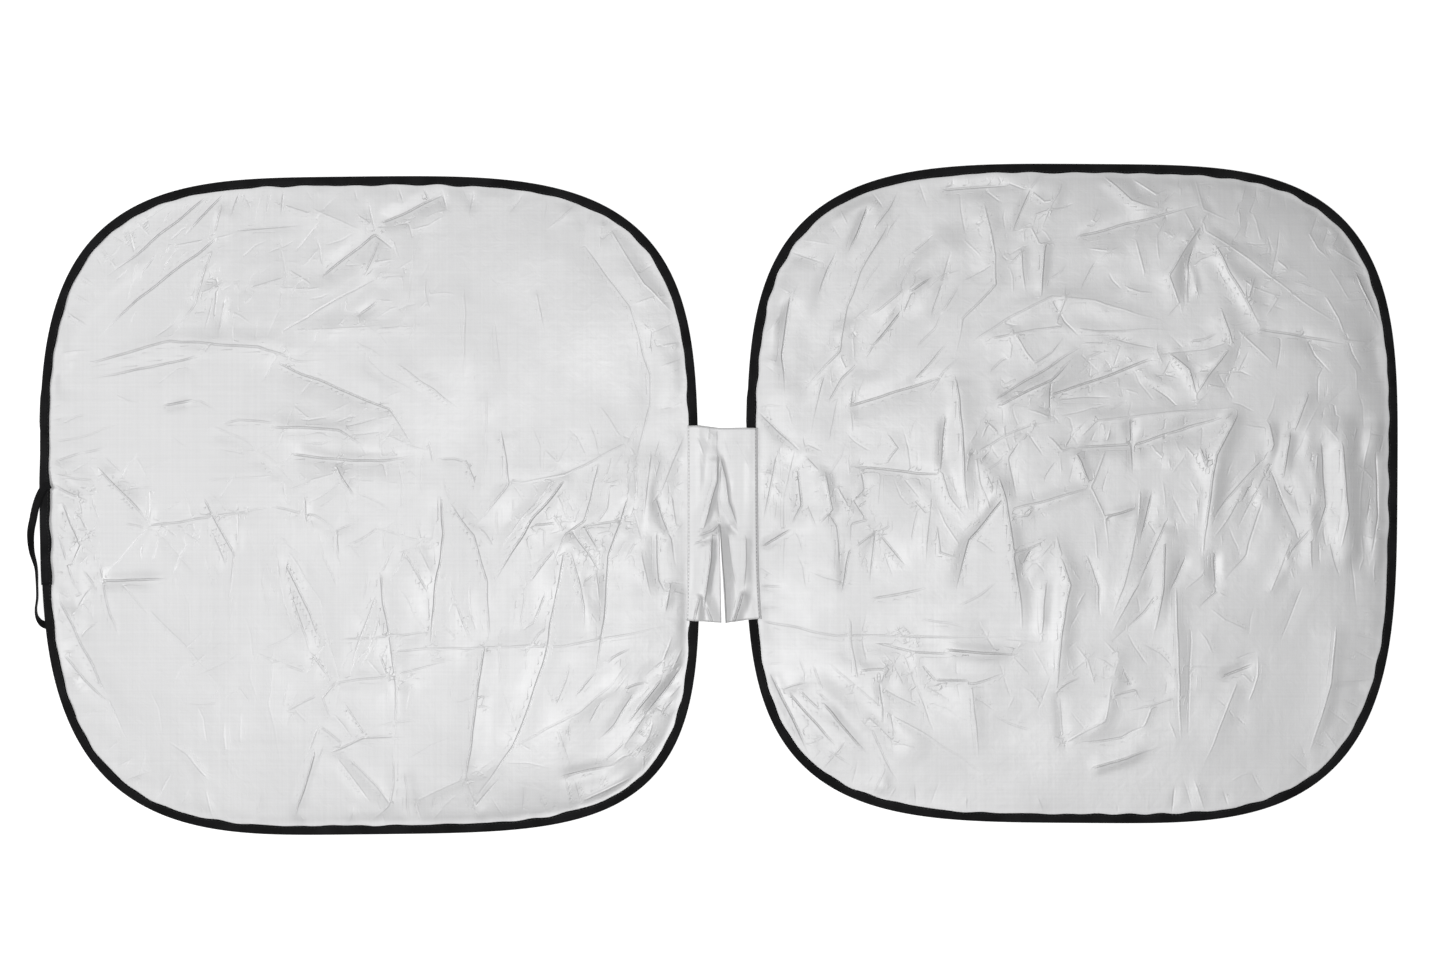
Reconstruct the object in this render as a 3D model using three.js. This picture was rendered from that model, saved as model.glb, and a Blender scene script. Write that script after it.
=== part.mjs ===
// Folding car windscreen shade: two cloth panels on sprung wire hoops, joined by a cloth bridge.
// Millimetres, +Z up. The shade lies flat with its silver front up, and +Y is its top edge.
// The origin is the middle of its footprint, on the surface that it lies on.

import * as THREE from "three";

// Outline of each panel, at the outer edge of its binding.
// Reach runs from the panel's middle to each side, and roundness is the power of each corner's curve.
const leftPanel = {
  reachRight: 377.9,
  reachLeft: 325.6,
  reachTop: 341.3,
  reachBottom: 362.4,
  roundTopRight: 3.75,
  roundTopLeft: 3.45,
  roundBottomLeft: 3.31,
  roundBottomRight: 4.29,
  tiltDegrees: 0.62,
  middleY: 2.4,
};
const rightPanel = {
  reachRight: 324.4,
  reachLeft: 372.0,
  reachTop: 339.0,
  reachBottom: 365.9,
  roundTopRight: 3.57,
  roundTopLeft: 3.66,
  roundBottomLeft: 3.84,
  roundBottomRight: 3.41,
  tiltDegrees: -0.37,
  middleY: 18.2,
};

// The bridge's centre line is x = 0, and each panel starts this far from it.
const leftPanelGap = 22.2;
const rightPanelGap = 28.7;

// Sprung wire and the crimped sleeve that joins its two ends
const wireRadius = 0.8;
const wireEndGap = 1;
const sleeveWall = 0.5;
const sleeveLength = 28;
const sleeveFromTapeStart = 78;

// Binding tape, folded over the wire and the cloth's edge
const bindingWidth = 9.8;
const tapeThickness = 0.7;
const tapeLap = 109;
const tapeStartY = 16;
const tapeRamp = 27;
const tapeRampClear = 3;
const tapeNoseHalf = 0.35;

// Cloth
const clothThickness = 0.4;
const clothCrown = 3.6;
const hemWidth = 4.5;
const foldWidthPerRise = 7;
const foldWidthLeast = 14;
const foldStep = 46;
const fillStep = 52;
const pointSpacing = 13;

// Bridge between the panels, with the slit for the mirror's stalk
const bridgeTopLeftY = 77.6;
const bridgeTopRightY = 75;
const bridgeTopMiddleY = 74.9;
const bridgeBottomLeftY = -131.6;
const bridgeBottomRightY = -130;
const bridgeBottomMiddleY = -133.5;
const bridgeHem = 3.5;
const bridgeRest = 2.4;
const slitTopY = -26.8;
const slitBottomLeft = 2.1;
const slitWidth = 4.3;

// Elastic closing loop at the left edge
const strapWidth = 8;
const strapThickness = 0.9;

// Room between pieces that touch on the real shade
const clearance = 0.3;

// Fineness of the curves
const outlineSteps = 2880;
const rimSteps = 54;
const wireSides = 6;
const sleeveSides = 10;
const bridgeRows = 11;
const strapSteps = 44;

// Folds of the left panel, in per cent of its half size from its middle.
// A positive rise is a ridge and a negative one is a furrow, in millimetres.
const leftFolds = [
  // Gathers that run down from the top left corner
  { rise: 4.5, line: [[-45, 82], [-56, 74], [-73, 59], [-83, 47]] },
  { rise: 3, line: [[-47, 79], [-53, 62], [-61, 50], [-85, 44]] },
  { rise: -2, line: [[-85, 41], [-73, 39], [-52, 45]] },
  { rise: 2, line: [[-40, 96], [-44, 85]] },
  { rise: 2, line: [[-30, 97], [-33, 88]] },
  // Long creases across the upper part
  { rise: 2, line: [[-61, 50], [-44, 49], [-23, 44], [-14, 44]] },
  { rise: 3, line: [[-44, 49], [-26, 42], [-5, 34], [5, 30], [14, 18]] },
  { rise: 2, line: [[-2, 48], [2, 43], [11, 38]] },
  { rise: 2, line: [[-29, 91], [-17, 88], [2, 82]] },
  { rise: 2, line: [[3, 87], [24, 95]] },
  { rise: -2, line: [[-11, 72], [-3, 80], [8, 78]] },
  { rise: 3, line: [[-26, 54], [-8, 65], [11, 70]] },
  { rise: 2, line: [[13, 56], [14, 72], [17, 79]] },
  { rise: 2, line: [[-27, 79], [-25, 70], [-33, 53]] },
  { rise: 3, line: [[-40, 28], [-29, 24], [-5, 23]] },
  { rise: -2.5, line: [[-50, 22], [-38, 18], [-21, 15], [5, 13], [13, 15]] },
  { rise: 2, line: [[-36, 12], [-21, 3]] },
  // Crumple at the left edge, by the closing loop
  { rise: 3, line: [[-93, 0], [-90, -9], [-85, -20]] },
  { rise: 2, line: [[-88, -41], [-74, -70]] },
  // Star of creases on the left
  { rise: 4, line: [[-81, 11], [-66, -5], [-53, -20]] },
  { rise: 3, line: [[-66, -5], [-47, -3]] },
  { rise: 3, line: [[-66, -5], [-77, -19]] },
  { rise: 3, line: [[-79, -25], [-67, -33], [-56, -45], [-40, -67]] },
  // Star of creases in the middle
  { rise: 4, line: [[-35, 0], [-11, -7], [-9, -17]] },
  { rise: 3, line: [[-11, -8], [3, -7], [20, -9]] },
  // Ridges that run down from the middle
  { rise: 4, line: [[23, 3], [21, -9], [19, -45]] },
  { rise: 3, line: [[28, -3], [36, -23], [35, -41]] },
  { rise: 3, line: [[-29, -10], [-17, -27], [-9, -53]] },
  { rise: 3, line: [[-28, -44], [-28, -76]] },
  { rise: 4, line: [[4, -22], [6, -39], [9, -55]] },
  { rise: 2, line: [[-11, -53], [7, -55]] },
  { rise: 3, line: [[-11, -55], [-5, -73]] },
  { rise: 3, line: [[-14, -77], [-3, -73], [11, -72]] },
  { rise: 3, line: [[9, -55], [24, -48], [62, -41], [94, -35]] },
  { rise: 3, line: [[35, -45], [33, -61], [32, -87]] },
  // Right part, by the bridge
  { rise: 4, line: [[60, -14], [54, -42], [44, -73], [32, -89]] },
  { rise: 3, line: [[61, -16], [65, -37]] },
  { rise: 4, line: [[37, -24], [52, -7], [64, -4], [70, 13]] },
  { rise: 3, line: [[43, 6], [56, 8], [74, 18]] },
  { rise: 3, line: [[67, 81], [78, 59], [85, 31], [80, 4]] },
  { rise: 4, line: [[80, 2], [74, -12], [67, -52]] },
  { rise: 3, line: [[80, 2], [85, -12]] },
  { rise: 2, line: [[33, 31], [36, 15], [34, 4]] },
  { rise: 3, line: [[55, 92], [79, 70], [88, 54]] },
  // Gathers at the lower right corner and the bottom edge
  { rise: 4, line: [[94, -50], [81, -65], [71, -70]] },
  { rise: 3, line: [[74, -53], [64, -62]] },
  { rise: 3, line: [[-17, -80], [-22, -95]] },
  { rise: 2, line: [[8, -76], [3, -90]] },
];

// Folds of the right panel, measured the same way
const rightFolds = [
  // Star of creases under the top edge
  { rise: 4, line: [[40, 81], [29, 66], [34, 54]] },
  { rise: 3, line: [[40, 81], [67, 60], [80, 51]] },
  { rise: 3, line: [[3, 78], [16, 84], [39, 83]] },
  { rise: 2, line: [[46, 70], [58, 50], [81, 45], [96, 44]] },
  { rise: 3, line: [[44, 56], [48, 46], [38, 30]] },
  { rise: 2, line: [[10, 96], [16, 89]] },
  { rise: 2, line: [[-20, 94], [-11, 83]] },
  { rise: 3, line: [[82, 68], [94, 46]] },
  // Gathers at the top left corner
  { rise: 4, line: [[-79, 75], [-88, 53], [-88, 30]] },
  { rise: 3, line: [[-65, 81], [-71, 53], [-77, 30]] },
  { rise: 4, line: [[-51, 78], [-62, 65]] },
  { rise: 3, line: [[-51, 62], [-62, 45]] },
  // Creases across the upper part
  { rise: 3, line: [[-30, 46], [-16, 56], [-8, 60], [19, 53], [30, 50]] },
  { rise: 3, line: [[-26, 78], [-24, 65], [-36, 44], [-37, 27]] },
  { rise: 2, line: [[-37, 37], [-70, 26]] },
  { rise: 4.5, line: [[3, 44], [-10, 37], [-22, 28]] },
  { rise: 3, line: [[-7, 29], [4, 33], [30, 41], [45, 43]] },
  { rise: 3, line: [[52, 25], [35, 25], [7, 22], [3, 13]] },
  { rise: -2, line: [[45, 21], [24, 14], [-5, 12]] },
  { rise: 3, line: [[-37, 27], [-34, 20], [-33, 4]] },
  // Crumpled band across the middle
  { rise: 4, line: [[50, 24], [44, 6], [41, -16]] },
  { rise: 5, line: [[-20, 3], [-17, -31]] },
  { rise: 4, line: [[-22, -4], [-30, -14], [-35, -28]] },
  { rise: 2, line: [[-15, -6], [7, 2]] },
  { rise: 3, line: [[12, 15], [7, 1], [11, -17]] },
  { rise: 3, line: [[-5, -14], [-15, -25]] },
  { rise: 3, line: [[29, -10], [21, -29]] },
  { rise: 2, line: [[-64, 7], [-41, 6]] },
  { rise: 4, line: [[-64, 7], [-68, -19], [-71, -29]] },
  { rise: 3, line: [[-60, -9], [-53, -26]] },
  { rise: 3, line: [[-85, 12], [-88, 0], [-88, -29]] },
  { rise: 4, line: [[58, 12], [52, 0], [43, -17]] },
  { rise: 3, line: [[61, 10], [69, -16]] },
  { rise: 3, line: [[65, -17], [59, -31]] },
  { rise: 3, line: [[78, 16], [81, -20]] },
  { rise: 5, line: [[91, 21], [92, 1], [90, -23]] },
  // Long creases across the lower part
  { rise: 2, line: [[-92, -40], [-57, -43], [-11, -42]] },
  { rise: 3, line: [[-4, -20], [-1, -31], [-5, -63], [-2, -78]] },
  { rise: 2, line: [[30, -31], [32, -41], [33, -73]] },
  { rise: 3, line: [[12, -49], [11, -64], [1, -76]] },
  { rise: 2, line: [[7, -84], [23, -80]] },
  { rise: 2, line: [[44, -79], [50, -58]] },
  { rise: 3, line: [[73, -76], [79, -55], [82, -32]] },
  { rise: 3, line: [[-74, -52], [-56, -66], [-22, -88]] },
  { rise: 3, line: [[-91, -54], [-73, -76]] },
];

// Folds of the bridge, in millimetres from its centre line and the photograph's middle height
const bridgeFolds = [
  { rise: 4, line: [[-3, 45], [-5, 9], [-19, -34], [-26, -48]] },
  { rise: 4, line: [[2, 41], [11, 0], [21, -38]] },
  { rise: 3, line: [[-1, -32], [-9, -40], [-19, -39]] },
  { rise: 3, line: [[-7, -41], [-10, -73], [-14, -106]] },
  { rise: 3, line: [[10, -40], [15, -73], [18, -103]] },
  { rise: 3, line: [[-19, -108], [-7, -131]] },
  { rise: 3, line: [[23, -103], [15, -131]] },
];

// Route of the closing loop. Out is how far its middle lies outside the binding's outer edge,
// and roll turns its width from flat (0) to upright (90). It rests on the floor unless lift says more.
const strapRoute = [
  { out: -9.2, y: 13.2, roll: 0, onTape: true },
  { out: -5, y: 10.7, roll: 0, onTape: true },
  { out: 0, y: 2.6, roll: 0, onTape: true },
  { out: 4, y: -9, roll: 4, onTape: true },
  { out: 7.2, y: -21.4, roll: 12, lift: 4.8 },
  { out: 10.5, y: -37.5, roll: 30, lift: 2.6 },
  { out: 9.9, y: -56.7, roll: 58, lift: 0.8 },
  { out: 5.9, y: -74.9, roll: 82 },
  { out: 5.6, y: -93.1, roll: 90 },
  { out: 6.2, y: -107, roll: 90 },
  { out: 8.4, y: -118.8, roll: 84 },
  { out: 8.2, y: -125.6, roll: 66 },
  { out: 5.6, y: -131.6, roll: 34 },
  { out: 0, y: -136, roll: 0 },
  { out: -6.5, y: -137, roll: 0 },
  { out: -12.5, y: -133.5, roll: 0 },
  { out: -15.5, y: -126.5, roll: 0 },
  { out: -15.2, y: -115, roll: 0 },
  { out: -12, y: -70, roll: 0 },
  { out: -7, y: -10, roll: 0 },
  { out: -5, y: 13.2, roll: 0 },
];

// Values that follow from the sizes above
const cavityHalf = wireRadius + clearance + 0.05;
const sleeveOuterRadius = wireRadius + clearance + sleeveWall;
const sleeveCavityHalf = sleeveOuterRadius + clearance + 0.1;
const wireInset = tapeThickness + cavityHalf;
const tapeHalfHeight = cavityHalf + tapeThickness;
const mouthHalf = clothThickness / 2 + clearance;
const lapGrowth = tapeThickness + clearance;
const clothEdgeInset = wireInset + wireRadius + clearance + 1;
const hemInset = bindingWidth + hemWidth;

leftPanel.middleX = -(leftPanelGap + leftPanel.reachRight);
rightPanel.middleX = rightPanelGap + rightPanel.reachLeft;
leftPanel.lapLift = lapGrowth + clearance + strapThickness;
rightPanel.lapLift = lapGrowth;
leftPanel.folds = leftFolds;
rightPanel.folds = rightFolds;

function smoothStep(from, to, value) {
  const share = Math.min(1, Math.max(0, (value - from) / (to - from)));
  return share * share * (3 - 2 * share);
}

// Point of a panel's outline in the direction of an angle, and its distance from the middle
function outlineRadius(panel, angle) {
  const cosine = Math.cos(angle);
  const sine = Math.sin(angle);
  const across = cosine > 0 ? panel.reachRight : panel.reachLeft;
  const up = sine > 0 ? panel.reachTop : panel.reachBottom;
  const rightPower = sine > 0 ? panel.roundTopRight : panel.roundBottomRight;
  const leftPower = sine > 0 ? panel.roundTopLeft : panel.roundBottomLeft;
  const power = cosine > 0 ? rightPower : leftPower;
  const sum = Math.abs(cosine / across) ** power + Math.abs(sine / up) ** power;
  return sum ** (-1 / power);
}

function outlinePoint(panel, angle) {
  const turned = angle + THREE.MathUtils.degToRad(panel.tiltDegrees);
  const radius = outlineRadius(panel, angle);
  return new THREE.Vector2(
    panel.middleX + radius * Math.cos(turned),
    panel.middleY + radius * Math.sin(turned),
  );
}

// The rim is the outline measured by length, counter-clockwise from where the tape starts.
function makeRim(panel) {
  let above = Math.PI / 2;
  let below = (3 * Math.PI) / 2;
  for (let i = 0; i < 50; i++) {
    const middle = (above + below) / 2;
    if (outlinePoint(panel, middle).y > tapeStartY) above = middle;
    else below = middle;
  }
  const points = [];
  for (let i = 0; i < outlineSteps; i++) {
    points.push(outlinePoint(panel, above + (2 * Math.PI * i) / outlineSteps));
  }
  const lengths = [0];
  for (let i = 0; i < outlineSteps; i++) {
    lengths.push(lengths[i] + points[i].distanceTo(points[(i + 1) % outlineSteps]));
  }
  const length = lengths[outlineSteps];
  const window = 14;
  const inwards = points.map((point, i) => {
    const next = points[(i + window) % outlineSteps];
    const previous = points[(i - window + outlineSteps) % outlineSteps];
    const along = next.clone().sub(previous).normalize();
    return new THREE.Vector2(-along.y, along.x);
  });
  return { panel, points, lengths, length, inwards };
}

// Place on the rim at a length from the tape's start, and a distance inwards of the outer edge
function rimPlace(rim, along, inset) {
  const wrapped = ((along % rim.length) + rim.length) % rim.length;
  let low = 0;
  let high = outlineSteps;
  while (high - low > 1) {
    const middle = (low + high) >> 1;
    if (rim.lengths[middle] <= wrapped) low = middle;
    else high = middle;
  }
  const share = (wrapped - rim.lengths[low]) / (rim.lengths[low + 1] - rim.lengths[low]);
  const next = (low + 1) % outlineSteps;
  const inward = rim.inwards[low].clone().lerp(rim.inwards[next], share).normalize();
  const place = rim.points[low].clone().lerp(rim.points[next], share);
  return { place: place.addScaledVector(inward, inset), inward };
}

// Length along the rim at which one side of it crosses a height
function rimAtHeight(rim, y, rightSide) {
  for (let i = 0; i < outlineSteps; i++) {
    const here = rim.points[i];
    const next = rim.points[(i + 1) % outlineSteps];
    const onSide = rightSide === here.x > rim.panel.middleX;
    if (onSide && (here.y - y) * (next.y - y) <= 0 && here.y !== next.y) {
      return rim.lengths[i] + ((y - here.y) / (next.y - here.y)) * here.distanceTo(next);
    }
  }
  throw new Error(`the rim doesn't reach the height ${y}`);
}

// Height of the wire's middle above the floor. The rim rises a little where the tape laps over itself.
function rimHeight(rim, along) {
  const wrapped = ((along % rim.length) + rim.length) % rim.length;
  const distance = wrapped > rim.length / 2 ? wrapped - rim.length : wrapped;
  const before = sleeveFromTapeStart + sleeveLength / 2 + 10;
  const after = tapeLap + 55;
  const ramp = 110;
  const rise = smoothStep(-before - ramp, -before, distance);
  const fall = 1 - smoothStep(after, after + ramp, distance);
  return tapeHalfHeight + rim.panel.lapLift * Math.min(rise, fall);
}

// Lengths along the rim at which every piece on it has a corner, closer together where it bends more
function rimStations(rim) {
  const bend = rim.inwards.map((inward, i) => {
    const next = (i + 1) % outlineSteps;
    const turn = Math.abs(inward.angleTo(rim.inwards[next]));
    return Math.sqrt(turn * (rim.lengths[i + 1] - rim.lengths[i]));
  });
  const evenness = 0.024;
  const sums = [0];
  for (let i = 0; i < outlineSteps; i++) {
    sums.push(sums[i] + bend[i] + evenness * (rim.lengths[i + 1] - rim.lengths[i]));
  }
  const needed = [
    0,
    tapeLap,
    rim.length - tapeRamp - tapeRampClear,
    rim.length - tapeRampClear,
    ...sleeveStations(rim),
  ];
  const stations = [...needed];
  let at = 0;
  for (let k = 0; k < rimSteps; k++) {
    const target = (sums[outlineSteps] * (k + 0.5)) / rimSteps;
    while (sums[at + 1] < target) at++;
    const along = rim.lengths[at];
    const far = needed.every((other) => {
      const apart = Math.abs(other - along);
      return Math.min(apart, rim.length - apart) > pointSpacing;
    });
    if (far) stations.push(along);
  }
  return stations.sort((a, b) => a - b);
}

function sleeveStations(rim) {
  const middle = rim.length - sleeveFromTapeStart;
  const half = sleeveLength / 2;
  const taper = 8;
  return [
    middle - half - taper,
    middle - half,
    middle - wireEndGap / 2,
    middle + wireEndGap / 2,
    middle + half,
    middle + half + taper,
  ];
}

// Builds a mesh's geometry from corners and faces, with every face turned outwards.
function solidGeometry(corners, faces) {
  let volume = 0;
  for (const [a, b, c] of faces) {
    volume += corners[a].dot(corners[b].clone().cross(corners[c]));
  }
  const turned = volume > 0 ? faces : faces.map(([a, b, c]) => [a, c, b]);
  const geometry = new THREE.BufferGeometry();
  const values = corners.flatMap((corner) => corner.toArray());
  geometry.setAttribute("position", new THREE.Float32BufferAttribute(values, 3));
  geometry.setIndex(turned.flat());
  geometry.computeVertexNormals();
  return geometry;
}

// Joins a row of sections with the same number of corners. The row either closes on itself or has two ends.
function sweptGeometry(sections, closes, outline) {
  const count = sections[0].length;
  const corners = sections.flat();
  const faces = [];
  const last = closes ? sections.length : sections.length - 1;
  for (let i = 0; i < last; i++) {
    const here = i * count;
    const there = ((i + 1) % sections.length) * count;
    for (let k = 0; k < count; k++) {
      const n = (k + 1) % count;
      faces.push([here + k, here + n, there + n], [here + k, there + n, there + k]);
    }
  }
  if (!closes) {
    const end = (sections.length - 1) * count;
    for (const [a, b, c] of THREE.ShapeUtils.triangulateShape(outline, [])) {
      faces.push([a, c, b], [end + a, end + b, end + c]);
    }
  }
  return solidGeometry(corners, faces);
}

// Section of the folded tape, from the mouth's upper lip round the fold to the lower lip and back.
// Growth moves a second layer out over the first, and half is the half height of the wire's space.
function tapeSection(half, growth) {
  const rootInset = wireInset + 0.55 * cavityHalf;
  const foldInset = wireInset - 0.6 * cavityHalf;
  const tip = wireInset - half;
  const spread = 0.25 * growth;
  const inner = [
    [bindingWidth, mouthHalf + growth],
    [rootInset + spread, half + growth],
    [foldInset - spread, half + growth],
    [tip - growth, tapeNoseHalf + 0.1 * growth],
  ];
  const outer = [
    [bindingWidth, mouthHalf + growth + tapeThickness],
    [rootInset + spread + 0.2, half + growth + tapeThickness],
    [foldInset - spread - 0.2, half + growth + tapeThickness],
    [tip - growth - tapeThickness, tapeNoseHalf + 0.05 + 0.1 * growth],
  ];
  const below = (row) => row.map(([inset, height]) => [inset, -height]);
  const loop = [...outer, ...below(outer).reverse(), ...below(inner), ...inner.reverse()];
  return loop.map(([inset, height]) => new THREE.Vector2(inset, height));
}

function bindingGeometry(rim, stations) {
  const [taperStart, sleeveStart, , , sleeveEnd, taperEnd] = sleeveStations(rim);
  const rampEnd = rim.length - tapeRampClear;
  const halfAt = (along) => {
    const rise = THREE.MathUtils.clamp((along - taperStart) / (sleeveStart - taperStart), 0, 1);
    const fall = THREE.MathUtils.clamp((taperEnd - along) / (taperEnd - sleeveEnd), 0, 1);
    return THREE.MathUtils.lerp(cavityHalf, sleeveCavityHalf, Math.min(rise, fall));
  };
  const growthAt = (along) => {
    return lapGrowth * THREE.MathUtils.clamp((along - rampEnd + tapeRamp) / tapeRamp, 0, 1);
  };
  const again = stations.filter((along) => along <= tapeLap).map((along) => along + rim.length);
  const sections = [...stations, ...again].map((along) => {
    const height = rimHeight(rim, along);
    return tapeSection(halfAt(along), growthAt(along)).map((corner) => {
      const { place } = rimPlace(rim, along, corner.x);
      return new THREE.Vector3(place.x, place.y, height + corner.y);
    });
  });
  return sweptGeometry(sections, false, tapeSection(cavityHalf, 0));
}

function circleSection(radius, sides) {
  const corners = [];
  for (let k = 0; k < sides; k++) {
    const angle = (2 * Math.PI * k) / sides;
    corners.push(new THREE.Vector2(radius * Math.cos(angle), radius * Math.sin(angle)));
  }
  return corners;
}

function roundSection(rim, along, radius, sides) {
  const height = rimHeight(rim, along);
  return circleSection(radius, sides).map((corner) => {
    const { place } = rimPlace(rim, along, wireInset + corner.x);
    return new THREE.Vector3(place.x, place.y, height + corner.y);
  });
}

function wireGeometry(rim, stations) {
  const [, , wireEnd, wireStart] = sleeveStations(rim);
  const first = stations.filter((along) => along >= wireStart);
  const second = stations.filter((along) => along <= wireEnd).map((along) => along + rim.length);
  const sections = [...first, ...second].map((along) => roundSection(rim, along, wireRadius, wireSides));
  return sweptGeometry(sections, false, circleSection(wireRadius, wireSides));
}

function sleeveGeometry(rim) {
  const [, start, wireEnd, wireStart, end] = sleeveStations(rim);
  const along = [start, wireEnd, wireStart, end];
  const boreRadius = (wireRadius + clearance) / Math.cos(Math.PI / sleeveSides);
  const outer = along.map((at) => roundSection(rim, at, sleeveOuterRadius, sleeveSides));
  const inner = along.map((at) => roundSection(rim, at, boreRadius, sleeveSides)).reverse();
  const rings = [...outer, ...inner];
  const sections = [];
  for (let k = 0; k < sleeveSides; k++) {
    sections.push(rings.map((ring) => ring[k]));
  }
  return sweptGeometry(sections, true);
}

// Delaunay triangles of a set of points
function delaunay(points) {
  const far = 1e5;
  const all = [
    ...points,
    new THREE.Vector2(-far, -far),
    new THREE.Vector2(far, -far),
    new THREE.Vector2(0, far),
  ];
  const first = points.length;
  let triangles = [circled(all, first, first + 1, first + 2)];
  for (let i = 0; i < first; i++) {
    const point = all[i];
    const kept = [];
    const edges = new Map();
    for (const triangle of triangles) {
      if (triangle.centre.distanceToSquared(point) >= triangle.radiusSquared) {
        kept.push(triangle);
        continue;
      }
      const [a, b, c] = triangle.corners;
      for (const [from, to] of [[a, b], [b, c], [c, a]]) {
        const back = `${to},${from}`;
        if (edges.has(back)) edges.delete(back);
        else edges.set(`${from},${to}`, [from, to]);
      }
    }
    for (const [from, to] of edges.values()) {
      kept.push(circled(all, from, to, i));
    }
    triangles = kept;
  }
  return triangles.map(({ corners }) => corners).filter((corners) => Math.max(...corners) < first);
}

function circled(points, a, b, c) {
  const p = points[a];
  const q = points[b].clone().sub(p);
  const r = points[c].clone().sub(p);
  const twice = 2 * q.cross(r);
  const x = (r.y * q.lengthSq() - q.y * r.lengthSq()) / twice;
  const y = (q.x * r.lengthSq() - r.x * q.lengthSq()) / twice;
  const centre = new THREE.Vector2(p.x + x, p.y + y);
  return { corners: [a, b, c], centre, radiusSquared: x * x + y * y };
}

// Distance of a point from a line of straight stretches
function distanceToLine(point, line) {
  let nearest = Infinity;
  for (let i = 0; i + 1 < line.length; i++) {
    const along = line[i + 1].clone().sub(line[i]);
    const from = point.clone().sub(line[i]);
    const share = THREE.MathUtils.clamp(from.dot(along) / along.lengthSq(), 0, 1);
    nearest = Math.min(nearest, from.addScaledVector(along, -share).length());
  }
  return nearest;
}

function foldWidth(rise) {
  return Math.max(foldWidthLeast, foldWidthPerRise * Math.abs(rise));
}

// Height that the folds add at a point: the highest ridge and the deepest furrow there
function foldHeight(point, folds) {
  let ridge = 0;
  let furrow = 0;
  for (const { rise, line } of folds) {
    const share = 1 - distanceToLine(point, line) / foldWidth(rise);
    if (share > 0 && rise > 0) ridge = Math.max(ridge, rise * share);
    if (share > 0 && rise < 0) furrow = Math.min(furrow, rise * share);
  }
  return ridge + furrow;
}

// Cloth of one panel: a flat hem held in the binding, and folds inside it
function clothGeometry(rim, stations) {
  const { panel } = rim;
  const half = new THREE.Vector2(
    (panel.reachLeft + panel.reachRight) / 2,
    (panel.reachBottom + panel.reachTop) / 2,
  );
  const middle = new THREE.Vector2(
    panel.middleX + (panel.reachRight - panel.reachLeft) / 2,
    panel.middleY + (panel.reachTop - panel.reachBottom) / 2,
  );
  const folds = panel.folds.map(({ rise, line }) => ({
    rise,
    line: line.map(([x, y]) => {
      return new THREE.Vector2(middle.x + (half.x * x) / 100, middle.y + (half.y * y) / 100);
    }),
  }));
  const centre = new THREE.Vector2(panel.middleX, panel.middleY);
  const tilt = THREE.MathUtils.degToRad(panel.tiltDegrees);
  const hemRadius = (point) => {
    const angle = Math.atan2(point.y - centre.y, point.x - centre.x) - tilt;
    return outlineRadius(panel, angle) - hemInset;
  };
  const rimLengthNear = (point) => {
    let best = 0;
    for (let i = 0; i < outlineSteps; i += 16) {
      const closer = rim.points[i].distanceToSquared(point);
      if (closer < rim.points[best].distanceToSquared(point)) best = i;
    }
    return rim.lengths[best];
  };
  const clothHeight = (point) => {
    const radius = hemRadius(point);
    const share = Math.min(1, point.distanceTo(centre) / radius);
    const edge = rimHeight(rim, rimLengthNear(point));
    const held = share ** 4;
    const rest = edge * held + tapeHalfHeight * (1 - held) + clothCrown * (1 - share ** 3);
    const fade = THREE.MathUtils.clamp(((1 - share) * radius) / (2 * foldWidthLeast), 0, 1);
    return rest + foldHeight(point, folds) * fade;
  };

  const hem = stations.map((along) => rimPlace(rim, along, hemInset).place);
  const inside = [];
  const add = (point, spacing) => {
    if (point.distanceTo(centre) > hemRadius(point) - pointSpacing * 0.7) return;
    if (inside.some((other) => other.distanceTo(point) < spacing)) return;
    inside.push(point);
  };
  for (const { line } of folds) {
    for (const point of spacedAlong(line, foldStep)) add(point.place, pointSpacing * 0.7);
  }
  for (const { rise, line } of folds) {
    for (const { place, side } of spacedAlong(line, foldStep)) {
      add(place.clone().addScaledVector(side, foldWidth(rise)), pointSpacing);
      add(place.clone().addScaledVector(side, -foldWidth(rise)), pointSpacing);
    }
  }
  const rows = Math.ceil((2 * half.y) / fillStep);
  const columns = Math.ceil((2 * half.x) / fillStep);
  for (let row = 0; row <= rows; row++) {
    for (let column = 0; column <= columns; column++) {
      const shift = row % 2 === 0 ? 0 : 0.5;
      const x = middle.x - half.x + (column + shift) * fillStep;
      const y = middle.y - half.y + row * fillStep;
      add(new THREE.Vector2(x, y), fillStep * 0.55);
    }
  }

  const edge = stations.map((along) => {
    const { place } = rimPlace(rim, along, clothEdgeInset);
    return new THREE.Vector3(place.x, place.y, rimHeight(rim, along));
  });
  const hemCorners = hem.map((place, i) => new THREE.Vector3(place.x, place.y, edge[i].z));
  const insideCorners = inside.map((point) => new THREE.Vector3(point.x, point.y, clothHeight(point)));
  const count = stations.length;
  const faces = [];
  for (let i = 0; i < count; i++) {
    const n = (i + 1) % count;
    faces.push([i, n, count + n], [i, count + n, count + i]);
  }
  const field = [...hem, ...inside];
  for (const [a, b, c] of delaunay(field)) {
    const area = field[b].clone().sub(field[a]).cross(field[c].clone().sub(field[a]));
    const corners = area > 0 ? [a, b, c] : [a, c, b];
    faces.push(corners.map((corner) => corner + count));
  }
  return doubledGeometry([...edge, ...hemCorners, ...insideCorners], faces, ringEdges(count));
}

function ringEdges(count) {
  const edges = [];
  for (let i = 0; i < count; i++) edges.push([i, (i + 1) % count]);
  return edges;
}

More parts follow.
